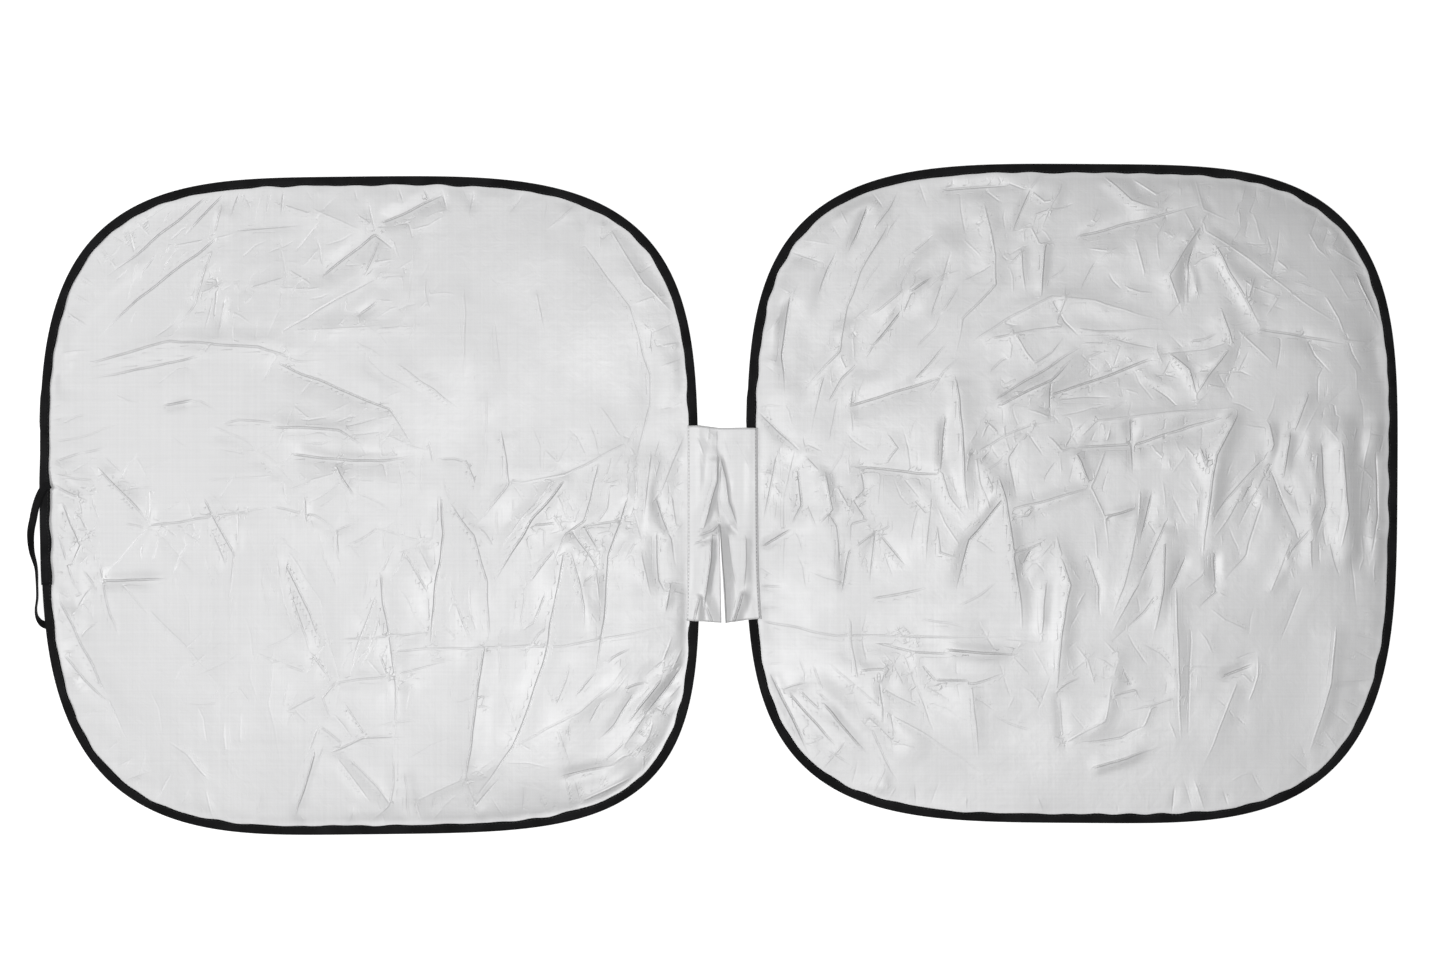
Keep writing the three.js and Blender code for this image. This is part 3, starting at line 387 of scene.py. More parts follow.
RIGHT_CREASES = [
    (-3.2, (-243, 290), (-261, 247)), (1.8, (-224, 269), (-250, 226), (-264, 188), (-272, 140), (-315, 92)),
    (3.2, (-179, 215), (-197, 202)), (-3.2, (-208, 178), (-238, 143)),
    (-3.2, (-325, 194), (-334, 135), (-331, 97)), (1.2, (-357, 151), (-325, 188)),
    (1.8, (-117, 295), (-106, 242), (-106, 210), (-141, 172), (-149, 135)), (3.2, (-52, 253), (-58, 194)),
    (1.2, (-127, 151), (-85, 178), (-47, 197), (1, 192), (44, 178), (71, 172)),
    (2.4, (12, 325), (39, 299), (71, 290)), (-2.4, (-15, 263), (1, 266), (113, 295)),
    (0.8, (108, 322), (116, 290), (146, 277)), (1.8, (113, 272), (78, 220), (94, 178)),
    (-3.2, (113, 272), (100, 231), (100, 188)), (3.2, (100, 231), (110, 199)),
    (1.2, (116, 269), (178, 226), (220, 192), (258, 167)), (2.4, (124, 258), (178, 162)),
    (-2.4, (178, 162), (269, 146)), (-0.8, (178, 162), (119, 140), (44, 135)),
    (2.4, (135, 181), (146, 146), (108, 92), (110, 81)), (2.4, (81, 135), (100, 119), (110, 87)),
    (-3.2, (-101, 90), (-15, 143)), (3.2, (-101, 81), (-47, 108), (-15, 140)), (-3.2, (-47, 92), (76, 135)),
    (-2.4, (-47, 108), (-47, 65)), (-1.2, (-122, 33), (-95, 49), (-68, 60), (-42, 65)),
    (-3.2, (-133, 28), (-111, 33), (-122, 17)), (3.2, (-149, 108), (-141, 55), (-138, -15)),
    (-3.2, (-159, 65), (-165, 6)), (-2.4, (-261, 81), (-154, 113)),
    (1.2, (-13, 49), (1, 65), (97, 74), (151, 79)), (-2.4, (-15, 36), (44, 39), (151, 74)),
    (1.2, (12, 33), (-4, -6), (12, -39), (14, -74)), (3.2, (12, -39), (44, -28)),
    (3.2, (-20, 28), (-4, -4)), (1.8, (-90, -31), (1, -6)),
    (3.2, (-101, 1), (-95, -20), (-88, -68), (-79, -133), (-79, -154)),
    (-3.2, (-98, -20), (-133, -63), (-147, -113)), (0.8, (-42, -63), (-85, -111)),
    (-3.2, (-68, -74), (-85, -111)), (2.4, (-36, -85), (-26, -111), (-36, -165), (-42, -234)),
    (1.8, (-52, -111), (-58, -165)), (-0.8, (-36, -234), (-31, -282)),
    (0.8, (-29, -279), (12, -256), (17, -218), (28, -181)), (-2.4, (78, -42), (46, -111)),
    (3.2, (76, -47), (73, -117), (65, -159)), (1.8, (87, -117), (92, -272)),
    (-0.8, (103, -159), (100, -272)), (3.2, (151, 71), (129, 28), (121, -26), (116, -79)),
    (3.2, (113, 33), (126, -4)), (-1.8, (178, 22), (129, -36), (119, -63)), (-3.2, (183, 28), (156, -26)),
    (2.4, (185, 60), (190, 39), (183, 22)), (-1.8, (185, 17), (215, -52), (220, -79)),
    (3.2, (207, 49), (201, 1)), (2.4, (226, 92), (210, 49)), (-1.2, (178, -26), (162, -79), (140, -106)),
    (1.2, (210, -63), (188, -117), (183, -122)), (-3.2, (129, -79), (129, -111)),
    (-3.2, (242, 39), (247, -26), (236, -58)), (3.2, (263, 39), (269, -36), (263, -68)),
    (0.8, (295, 60), (285, 1), (281, -68)), (-2.4, (301, 28), (303, -36), (295, -85)),
    (-0.8, (274, -79), (279, -133)), (1.8, (258, -159), (253, -218), (231, -288)),
    (-2.4, (-254, 15), (-208, 10), (-159, 6)),
    (-1.8, (-250, 12), (-245, -10), (-256, -20), (-243, -42), (-259, -47), (-261, -74)),
    (-3.2, (-261, -74), (-270, -117)), (-1.8, (-234, -52), (-240, -106)), (-1.8, (-234, -52), (-202, -90)),
    (-0.8, (-234, -52), (-216, -101)), (-0.8, (-202, 1), (-186, -20)),
    (-0.8, (-320, 33), (-331, -20), (-331, -111)), (-3.2, (-318, 28), (-312, -26), (-323, -47)),
    (-3.2, (-352, -68), (-325, -52)), (2.4, (-288, 6), (-280, -31), (-296, -47)),
    (-1.8, (-361, 76), (-315, 33)), (1.2, (-127, 33), (-122, -4), (-106, -47)),
    (-1.2, (-357, -149), (-277, -165), (-154, -167), (-79, -165)), (3.2, (-154, -181), (-85, -186)),
    (2.4, (-170, -213), (-133, -213)), (1.8, (-250, -202), (-224, -202), (-229, -218)),
    (0.8, (-282, -197), (-250, -224), (-218, -250), (-170, -277), (-101, -325)),
    (-1.8, (-229, -218), (-224, -250)), (-0.8, (-202, -186), (-186, -229), (-170, -272)),
    (1.2, (-131, -218), (-125, -293)), (-3.2, (-345, -208), (-304, -293)),
    (-2.4, (-325, -229), (-277, -282)), (3.2, (-288, -240), (-245, -288)), (2.4, (1, -306), (60, -288)),
    (-3.2, (140, -208), (167, -197)), (1.2, (151, -218), (119, -299)), (3.2, (279, 220), (317, 146)),
    (-2.4, (-68, 311), (-88, 263)), (1.2, (-36, 317), (-58, 269)), (-2.4, (-159, 311), (-90, 317)),
    (-0.8, (76, 71), (71, 12)), (-3.2, (39, 65), (41, 12)), (-3.2, (60, -15), (49, -63)),
    (-2.4, (97, -85), (76, -127)), (1.2, (-175, -20), (-181, -85)), (1.8, (-79, 247), (-74, 204)),
    (-0.8, (220, -117), (199, -170)),
]

# Fine creases between the long ones. Their points and rises were picked by eye, and a separate script turned
# the points into millimetres.
LEFT_FINE_CREASES = [
    (-1, (-209, -29), (-235, -60), (-257, -79)), (-1, (-202, -36), (-183, -60), (-157, -83)),
    (1, (-216, -50), (-219, -69)), (-0.7, (-254, -88), (-216, -116), (-169, -163), (-136, -201)),
    (-1.2, (-143, -8), (-129, -31), (-122, -55), (-119, -67)),
    (1.2, (-115, -8), (-114, -46), (-118, -74), (-124, -109)),
    (-1, (-143, -31), (-132, -60), (-124, -83), (-122, -109)), (0.8, (-103, -13), (-117, -46)),
    (1, (-110, -41), (-117, -74)), (-1, (-75, -46), (-80, -76)),
    (-1.3, (-68, -67), (-51, -97), (-37, -126), (-23, -163), (-11, -199)),
    (1.1, (-63, -83), (-54, -116), (-42, -149), (-37, -168)), (-1, (-42, -83), (-30, -116), (-18, -149)),
    (0.8, (-87, -60), (-82, -88)), (1, (-28, -126), (-23, -154), (-14, -192)),
    (-0.9, (-44, -74), (-42, -100), (-30, -135)), (-1.1, (-42, -22), (-11, -41)),
    (-1, (-11, -41), (15, -24)), (-1.5, (-10, -41), (-8, -57), (-5, -74)), (1, (-14, -42), (-11, -60)),
    (-0.8, (5, -53), (34, -36), (74, -48), (102, -45)), (0.8, (52, -55), (38, -88), (41, -112)),
    (-1.2, (62, -60), (78, -83), (92, -107)), (1, (81, -50), (95, -83)),
    (-1.2, (41, -88), (48, -130), (52, -168), (55, -201)),
    (1, (43, -107), (34, -135), (26, -168), (15, -187)), (1.1, (38, -173), (48, -197), (52, -230)),
    (-0.8, (69, -192), (100, -178), (142, -163)),
    (-1.1, (-37, -168), (-23, -187), (-11, -199), (15, -197), (52, -194)),
    (1.1, (-11, -199), (-23, -215), (-16, -234), (1, -244), (19, -258)),
    (-1, (1, -225), (15, -244), (26, -258), (52, -257)), (-1.1, (1, -267), (24, -260), (62, -257)),
    (0.9, (-61, -230), (-33, -215), (-14, -197)), (1, (-23, -248), (1, -267)),
    (-0.9, (5, -244), (34, -253)), (1.1, (57, -201), (52, -239), (50, -258)),
    (1.1, (-28, -248), (-42, -281), (-51, -319), (-54, -350)),
    (-0.9, (-23, -272), (-33, -296), (-42, -329)), (-1, (67, -300), (76, -329), (81, -350)),
    (1, (5, -281), (34, -310), (48, -329), (26, -350)), (1.1, (48, -329), (52, -305), (52, -272)),
    (-1.2, (130, -286), (133, -314), (140, -331), (170, -296)),
    (0.8, (100, -314), (137, -300), (175, -281)), (1, (-308, 39), (-282, 46), (-254, 53)),
    (-1, (-297, 16), (-273, 6), (-259, 2)), (1.3, (-315, 13), (-297, 4), (-273, -8)),
    (-1.4, (-306, -8), (-282, -22), (-273, -46), (-268, -69), (-259, -95)),
    (1.2, (-287, 6), (-278, -36), (-271, -60), (-261, -88)), (-1.5, (-308, -36), (-297, -74), (-282, -112)),
    (1.2, (-292, -50), (-282, -46), (-268, -55)), (-1.2, (-311, -60), (-297, -88), (-290, -107)),
    (1.1, (-278, -83), (-264, -102), (-254, -79)), (-0.8, (-306, 58), (-282, 63), (-259, 72), (-240, 77)),
    (-1.1, (24, 313), (31, 289), (34, 282)), (1, (15, 299), (31, 287)),
    (-0.9, (34, 287), (67, 292), (85, 313)), (1.1, (34, 285), (52, 270), (57, 256)),
    (1, (31, 282), (15, 266), (-16, 240)), (-0.8, (85, 329), (90, 313), (76, 301)),
    (-0.8, (137, 327), (135, 308)), (0.9, (-75, 313), (-42, 303), (1, 292)),
    (0.9, (-58, 240), (-42, 230), (-35, 223)), (1, (-99, 223), (-61, 235)),
    (-1, (-63, 233), (-66, 200), (-75, 176)), (1.1, (-61, 181), (-23, 200), (5, 214), (34, 233)),
    (-0.9, (-23, 195), (1, 209), (24, 223), (34, 235)), (0.8, (24, 235), (62, 233), (64, 185)),
    (1, (-122, 209), (-129, 176)), (-0.9, (-143, 202), (-150, 178)),
    (-1.2, (-183, 164), (-155, 155), (-127, 162), (-89, 160), (-56, 150), (-23, 143)),
    (0.9, (-165, 162), (-89, 162), (-75, 167)), (-1.1, (24, 152), (26, 138), (38, 127), (52, 117)),
    (0.8, (-56, 176), (-23, 178), (19, 176), (85, 181)), (-0.8, (-188, 96), (-155, 101), (-136, 91)),
    (-0.9, (-141, 70), (-103, 51), (-75, 25), (-42, 2)),
    (1, (-146, 72), (-113, 82), (-84, 79), (-37, 72), (-4, 70), (15, 56), (26, 39)),
    (-0.9, (1, 75), (15, 77), (34, 82)), (-1.3, (-51, 51), (-14, 39), (24, 38), (52, 38), (71, 42)),
    (-0.8, (-146, 16), (-108, 18), (-61, 23)), (-0.9, (90, 58), (95, 35)),
    (-1, (104, 39), (118, 39), (137, 32), (147, 6)), (-1.2, (123, 35), (140, 16), (147, -8)),
    (1.1, (156, 72), (151, 39), (148, 16), (144, -17)), (-1, (170, 63), (175, 39), (175, 16), (161, -8)),
    (-0.9, (175, 16), (203, 16), (222, 18), (255, 35), (283, 53)),
    (1.1, (222, 16), (199, -13), (184, -31), (166, -60)), (-1.1, (203, -31), (232, -27), (255, -29)),
    (1.1, (258, -29), (272, 6), (283, 35), (293, 58)), (-1.1, (255, -31), (288, -27), (307, -20)),
    (1.3, (236, -41), (222, -60), (203, -83), (184, -112), (180, -140)),
    (-1.3, (241, -36), (260, -60), (274, -83)), (1.2, (248, -50), (250, -83), (260, -121), (269, -135)),
    (1, (283, 25), (279, -13), (260, -41)), (1.2, (302, 44), (302, 6), (288, -36), (279, -74)),
    (-1.2, (321, 63), (312, 25), (316, -13), (314, -50)), (1.1, (335, 35), (324, -3), (314, -41)),
    (-1.1, (331, 6), (335, -22), (349, -46), (354, -74)), (1, (349, -3), (354, -36)),
    (-1, (213, -107), (203, -135), (189, -145)), (1, (133, -97), (135, -126), (142, -145)),
    (-1, (114, -93), (118, -112), (135, -154)), (1, (227, -220), (236, -197), (241, -178)),
    (-1, (241, -248), (236, -286)), (1.2, (283, -206), (260, -220), (236, -244)),
    (-1.2, (307, -215), (288, -244), (274, -258)), (1.3, (345, -206), (321, -234), (298, -267)),
    (-1, (241, -300), (260, -293), (293, -286)), (0.8, (302, 200), (326, 176)),
    (-0.9, (328, 176), (326, 129), (321, 82)),
]
RIGHT_FINE_CREASES = [
    (1.1, (-259, 206), (-278, 150), (-292, 104), (-303, 53)), (-1, (-192, 240), (-206, 210), (-204, 196)),
    (1, (-206, 203), (-225, 187), (-238, 178)), (-1, (-174, 261), (-202, 238), (-206, 206)),
    (0.9, (-206, 173), (-225, 159), (-238, 150)), (1, (-359, 150), (-345, 164), (-317, 210)),
    (1.1, (-326, 48), (-315, 16), (-308, -21), (-317, -44)), (-1.1, (-324, 44), (-331, 2), (-342, -44)),
    (1.2, (-294, 7), (-280, -30), (-294, -49)), (-1.3, (-287, -30), (-275, -49), (-271, -90), (-268, -118)),
    (1, (-308, 25), (-287, 2), (-280, -35)), (-1, (-340, 25), (-347, -12), (-354, -44)),
    (1, (-310, -21), (-299, -49)), (1, (-275, -7), (-257, -35), (-248, -39)),
    (1.5, (-248, 12), (-255, -16), (-248, -30)), (-1.3, (-248, 9), (-243, -16), (-248, -30)),
    (-1.3, (-248, -44), (-259, -58), (-264, -76), (-271, -95)),
    (1.2, (-236, -55), (-252, -67), (-266, -83)), (-1.2, (-236, -55), (-248, -90)),
    (1.1, (-236, -55), (-238, -99)), (-1.1, (-236, -55), (-225, -95)), (1.2, (-236, -55), (-206, -95)),
    (-1, (-236, -55), (-220, -49), (-220, -39)), (-1, (-202, 2), (-192, -21), (-178, -35), (-174, -53)),
    (1, (-169, -49), (-165, -76), (-146, -83)), (-1, (-234, -125), (-206, -120), (-178, -113)),
    (1.1, (-165, 53), (-167, 25), (-162, 2), (-155, -16), (-141, -35)),
    (1.3, (-146, 25), (-139, -2), (-135, -30)), (-1.1, (-132, 30), (-123, -2), (-125, -35)),
    (1.3, (-123, 25), (-109, -7), (-118, -35), (-135, -58), (-146, -83)),
    (1.5, (-135, 30), (-114, 32), (-104, 44)), (1.1, (-104, 53), (-114, 62), (-121, 48)),
    (-1, (-81, 39), (-91, 25), (-84, -16)), (1.2, (-91, -39), (-72, -37), (-68, -30), (-35, -18), (-3, -7)),
    (1.2, (-47, 65), (-63, 62), (-72, 48), (-86, 35), (-104, 25)), (1.1, (-47, 46), (-35, 32), (-21, 36)),
    (1.2, (-21, 53), (-3, 69), (30, 67), (76, 69), (122, 72), (150, 76)),
    (-1.2, (-21, 53), (-31, 35), (-3, 35), (25, 39), (53, 38), (94, 53), (136, 67)),
    (1, (16, 53), (13, 42)), (-1.5, (13, 30), (6, 12), (-3, -5), (6, -21), (16, -39), (12, -53), (16, -72)),
    (1.1, (-17, 30), (-10, 12), (-3, -2)), (-1.4, (16, -39), (30, -37), (43, -35)),
    (0.9, (48, -12), (46, -44)), (1, (41, 48), (48, 35), (43, 12)),
    (1.5, (143, 72), (131, 48), (117, 16), (124, -12)),
    (1.6, (145, 72), (133, 25), (127, -12), (122, -49), (120, -81)),
    (-1.4, (124, 25), (120, -12), (117, -44), (120, -79)), (1, (108, -21), (115, -58)),
    (-1.2, (122, -81), (127, -109), (131, -118), (113, -136)),
    (1.3, (187, 58), (189, 35), (177, 16), (159, -12), (145, -35), (127, -62)),
    (1.3, (205, 62), (203, 25), (210, -2)), (-1.2, (205, 62), (187, 16), (168, -21), (154, -49)),
    (-1.2, (191, 21), (200, -12), (205, -44), (214, -53)), (1.1, (177, -16), (168, -53), (159, -81)),
    (-1.2, (205, -58), (214, -85)), (-1.2, (228, -53), (200, -90), (191, -113)),
    (1.2, (214, -67), (205, -90), (187, -118), (175, -120)),
    (1.5, (297, 53), (284, 16), (279, -21), (284, -49), (288, -85)),
    (-1.4, (309, 48), (302, 16), (304, -21)), (-1.5, (297, 25), (295, -21), (288, -49), (293, -90)),
    (1.3, (279, 12), (272, -21), (277, -58), (272, -90)),
    (1.2, (-44, -62), (-63, -69), (-86, -76), (-98, -90)), (-1.1, (-42, -65), (-63, -85), (-81, -113)),
    (1.2, (-40, -62), (-31, -104), (-33, -150), (-37, -196), (-40, -224)), (1, (-47, -67), (-68, -104)),
    (-1, (-7, -81), (6, -113), (6, -141)), (1, (46, -44), (39, -81), (30, -113), (20, -141)),
    (1.3, (78, -49), (57, -90), (39, -122), (20, -159)), (-1.1, (71, -113), (53, -141), (34, -159)),
    (1.1, (25, -183), (20, -215), (16, -238), (2, -266), (-21, -282)),
    (1.2, (20, -229), (43, -224), (48, -233)), (-1.1, (27, -196), (39, -219), (16, -236)),
    (1, (-354, -152), (-294, -162), (-248, -164), (-192, -169), (-128, -168), (-49, -173)),
    (-1, (-271, -162), (-234, -173), (-192, -183), (-128, -187)),
    (-1.1, (-174, -215), (-128, -216), (-91, -206)), (1, (-128, -187), (-100, -183), (-63, -169)),
    (1.1, (-248, -201), (-234, -208), (-220, -203), (-229, -192)),
    (-1, (-280, -201), (-225, -247), (-160, -284), (-128, -312), (-91, -335)),
    (0.9, (-262, -150), (-257, -196), (-252, -224)), (-1.3, (-40, -224), (-35, -256), (-31, -286)),
    (1.1, (-40, -224), (-31, -217), (-17, -210)), (-1, (-35, -280), (-3, -280), (30, -275), (53, -261)),
    (1, (-1, -310), (20, -303), (53, -291)), (1, (256, -206), (247, -247), (233, -284)),
    (-1, (-130, 312), (-118, 321), (-91, 319), (-68, 310)), (1.1, (-68, 310), (-54, 298), (-40, 300)),
    (1.1, (-44, 314), (-40, 300), (-47, 289), (-63, 284), (-68, 270)), (1, (-47, 289), (-31, 291)),
    (-1, (-104, 266), (-109, 238), (-100, 224)), (1, (-68, 270), (-58, 252), (-44, 256)),
    (1.2, (-17, 266), (-7, 273), (16, 275), (43, 284), (71, 289), (103, 294)),
    (-1, (16, 321), (30, 303), (43, 298)), (1, (43, 321), (66, 305), (76, 310)),
    (-1.2, (108, 321), (115, 303), (131, 282), (145, 275)),
    (1.3, (117, 282), (103, 256), (87, 233), (76, 215), (80, 206)),
    (-1.3, (117, 273), (103, 247), (96, 219), (94, 178)),
    (1.1, (99, 243), (103, 224), (106, 206), (96, 178)),
    (1.2, (117, 273), (127, 243), (140, 229), (168, 206), (196, 196)),
    (-1, (117, 273), (150, 252), (187, 224), (219, 192), (251, 171)),
    (1, (127, 261), (168, 238), (205, 206), (237, 182)),
    (-1.1, (117, 270), (136, 219), (159, 187), (180, 162)), (1.1, (168, 215), (163, 192), (180, 162)),
    (1, (180, 162), (214, 157), (261, 150), (307, 146)), (-1.1, (143, 146), (136, 164), (136, 178)),
    (1.2, (145, 143), (127, 127), (113, 99), (108, 85)), (-1, (71, 143), (99, 127), (106, 118), (108, 90)),
    (1.1, (-81, 182), (-63, 192), (-44, 196), (-17, 194), (16, 182), (43, 176), (66, 171)),
    (-1, (-44, 192), (-31, 169), (-17, 155)),
    (1, (-123, 150), (-100, 155), (-63, 162), (-35, 164), (6, 159), (76, 162)),
    (1.3, (-19, 141), (-40, 127), (-54, 113), (-81, 99), (-102, 85)), (-1, (6, 157), (43, 146), (76, 139)),
    (1, (-220, 48), (-211, 35), (-218, 25), (-225, 12)),
]


@dataclass
class Patch:
    """A stretch of cloth with small creases: its middle and half size, and how many of them lie how.

    Lengths are in millimetres and angles in degrees.
    """

    x: float
    y: float
    half_size: tuple
    lean: float
    spread: float
    count: int
    lengths: tuple
    rise: float


LEFT_PATCHES = [
    Patch(60, -70, (280, 90), lean=95, spread=24, count=120, lengths=(16, 60), rise=0.8),
    Patch(40, -210, (240, 90), lean=90, spread=50, count=60, lengths=(16, 60), rise=0.7),
    Patch(-40, 220, (130, 80), lean=40, spread=45, count=70, lengths=(14, 45), rise=0.8),
    Patch(-130, 40, (190, 80), lean=-8, spread=40, count=60, lengths=(16, 60), rise=0.7),
    Patch(-290, -60, (28, 100), lean=100, spread=40, count=30, lengths=(12, 34), rise=1.2),
    Patch(285, -30, (70, 90), lean=75, spread=30, count=40, lengths=(16, 50), rise=0.9),
    Patch(300, -235, (60, 60), lean=48, spread=18, count=22, lengths=(20, 60), rise=1.4),
    Patch(-190, 240, (70, 70), lean=48, spread=20, count=20, lengths=(20, 70), rise=1.2),
]
RIGHT_PATCHES = [
    Patch(10, 0, (300, 95), lean=97, spread=26, count=130, lengths=(14, 50), rise=0.7),
    Patch(-290, 0, (60, 90), lean=95, spread=24, count=40, lengths=(14, 44), rise=0.7),
    Patch(40, 110, (160, 60), lean=15, spread=40, count=50, lengths=(16, 60), rise=1.0),
    Patch(20, 250, (170, 60), lean=80, spread=40, count=60, lengths=(14, 45), rise=0.8),
    Patch(180, 220, (90, 80), lean=-40, spread=25, count=30, lengths=(16, 60), rise=1.0),
    Patch(-40, -190, (230, 90), lean=85, spread=60, count=80, lengths=(14, 50), rise=0.7),
    Patch(-230, 170, (70, 90), lean=60, spread=14, count=20, lengths=(24, 70), rise=1.2),
    Patch(-250, -220, (70, 60), lean=-50, spread=14, count=20, lengths=(24, 70), rise=1.2),
    Patch(260, -20, (46, 90), lean=92, spread=14, count=26, lengths=(24, 80), rise=1.5),
]

# Broad soft folds: rise, half width, and points in millimetres from the panel's middle
LEFT_SWELLS = [
    (2.6, 26, (-205, 272), (-302, 150)), (-2.6, 32, (-160, 288), (-275, 160)),
    (-1.8, 26, (-300, 124), (-240, 128)), (3, 90, (262, -160), (170, -262)),
    (-1.4, 40, (322, -205), (250, -285)), (1.8, 30, (300, 230), (345, 120)),
    (2.2, 22, (-306, 10), (-290, -110)),
]
RIGHT_SWELLS = [
    (3.4, 40, (-325, 194), (-250, 290)), (-3, 34, (-270, 190), (-200, 262)),
    (2.4, 30, (-215, 190), (-160, 250)), (-2.6, 26, (-205, 178), (-240, 130)),
    (3, 30, (-331, 97), (-335, 160)), (3.6, 26, (262, 50), (268, -80)), (-3.2, 20, (285, 60), (287, -80)),
    (3, 20, (296, 50), (296, -80)), (-2.6, 40, (290, 250), (318, 120)), (2, 40, (235, 60), (240, -80)),
    (-2.4, 30, (-300, -230), (-240, -290)), (2.2, 30, (-270, -205), (-200, -280)),
]

# Slopes along the rim: the direction from the panel's middle in degrees, and how high the cloth stands there
LEFT_SLOPES = [(-45, 15), (180, -5), (130, -5)]
RIGHT_SLOPES = [(0, 7), (50, 9), (145, -5)]

# The bridge's creases: rise, half width, lean, and points in millimetres from the shade's own origin. A line
# that runs down the shade has its steep flank on the right with a lean below 0.
LEFT_BRIDGE_CREASES = [
    (4.2, 9, -0.4, (-2, 44), (-3, 19), (-8, -1), (-12, -16), (-19, -39)),
    (-2.4, 5, 0, (-1, 24), (0, -22)),
    (3.4, 7, 0, (-20, -39), (-7, -34), (1, -27)),
    (-3.2, 5, 0, (-27, -49), (-17, -45), (-6, -42)),
    (4.8, 11, -0.45, (-8, -42), (-12, -78), (-14, -95), (-16, -108), (-17, -120)),
    (-1.6, 6, 0, (-3, -60), (-9, -98)),
    (7.0, 13, -0.2, (-21, -104), (-28, -130), (-35, -156)),
    (3.4, 8, 0.6, (-17, -108), (-9, -131), (-1, -154)),
    (0.8, 8, 0, (-23, 63), (-17, 47)),
    (-0.8, 6, 0, (-2, 71), (-2, 48)),
]
RIGHT_BRIDGE_CREASES = [
    (3.2, 7, -0.45, (1, 42), (6, 18), (9, -4), (14, -20), (21, -41)),
    (2.2, 6, 0, (2, 27), (4, -12), (8, -20)),
    (-2.4, 5, 0, (-1, 24), (0, -22)),
    (-3.2, 6, 0, (11, -29), (20, -40)),
    (6.4, 13, 0, (0, -29), (3, -78), (6, -133), (8, -180)),
    (-1.8, 6, 0, (10, -42), (17, -92), (19, -105)),
    (3.0, 13, -0.2, (28, -44), (27, -80), (25, -104)),
    (8.0, 7.5, 0.4, (25, -100), (16, -131), (8, -160)),
    (-1.6, 7, 0, (33, -60), (40, -90)),
    (0.8, 8, 0, (18, 60), (31, 33)),
    (-0.8, 6, 0, (-2, 71), (-2, 48)),
]

# Route of the closing loop: how far its middle lies outside the tape, its height up the shade, its roll from
# flat to upright in degrees, and its lift off the floor. A lift of None lays it on the tape.
STRAP_ROUTE = [
    (-11.4, 14.2, 0, None), (-5, 10.7, 0, None), (0, 2.6, 0, None), (4, -9, 4, None),
    (7.2, -21.4, 12, 4.8), (10.5, -37.5, 30, 2.6), (9.9, -56.7, 58, 0.8), (5.9, -74.9, 82, 0),
    (5.6, -93.1, 90, 0), (6.2, -107, 90, 0), (8.4, -118.8, 90, 0), (8.2, -125.6, 84, 0),
    (5.6, -131.6, 62, 0), (1.6, -135.2, 22, 0), (-6.5, -137, 0, 0), (-12.5, -133.5, 0, 0),
    (-15.5, -126.5, 0, 0), (-15.2, -115, 0, 0), (-12, -70, 0, 0), (-7, -10, 0, 0), (-5, 13.2, 0, 0),
]


def line_distance(x, y, points):
    """Distance to a line of straight stretches, the side of it, the share of its length, and its heading."""
    ends = np.array(points, float)
    spans = np.diff(ends, axis=0)
    sizes = np.hypot(spans[:, 0], spans[:, 1])
    starts = np.concatenate([[0], np.cumsum(sizes)])
    nearest = np.full(x.shape, np.inf)
    side = np.ones(x.shape)
    share = np.zeros(x.shape)
    heading = np.zeros(x.shape)
    for (ax, ay), (dx, dy), size, start in zip(ends[:-1], spans, sizes, starts):
        t = np.clip(((x - ax) * dx + (y - ay) * dy) / size**2, 0, 1)
        off_x, off_y = x - ax - t * dx, y - ay - t * dy
        distance = np.hypot(off_x, off_y)
        closer = distance < nearest
        nearest = np.where(closer, distance, nearest)
        side = np.where(closer, np.where(dx * off_y - dy * off_x > 0, 1.0, -1.0), side)
        share = np.where(closer, (start + t * size) / starts[-1], share)
        heading = np.where(closer, math.atan2(dy, dx), heading)
    return nearest, side, share, heading


def value_noise(x, y, cell, rng):
    """Smooth random values between -1 and 1 with a given cell size."""
    column, row = x / cell, y / cell
    low_column, low_row = np.floor(column).astype(int), np.floor(row).astype(int)
    first_column, first_row = low_column.min(), low_row.min()
    shape = (low_row.max() - first_row + 2, low_column.max() - first_column + 2)
    lattice = rng.uniform(-1, 1, shape)
    across, up = smooth_step(0, 1, column - low_column), smooth_step(0, 1, row - low_row)
    i, j = low_row - first_row, low_column - first_column
    bottom = lattice[i, j] * (1 - across) + lattice[i, j + 1] * across
    top = lattice[i + 1, j] * (1 - across) + lattice[i + 1, j + 1] * across
    return bottom * (1 - up) + top * up


def moved(place, length, angle):
    """A place moved by a length towards an angle."""
    return place[0] + length * math.cos(angle), place[1] + length * math.sin(angle)


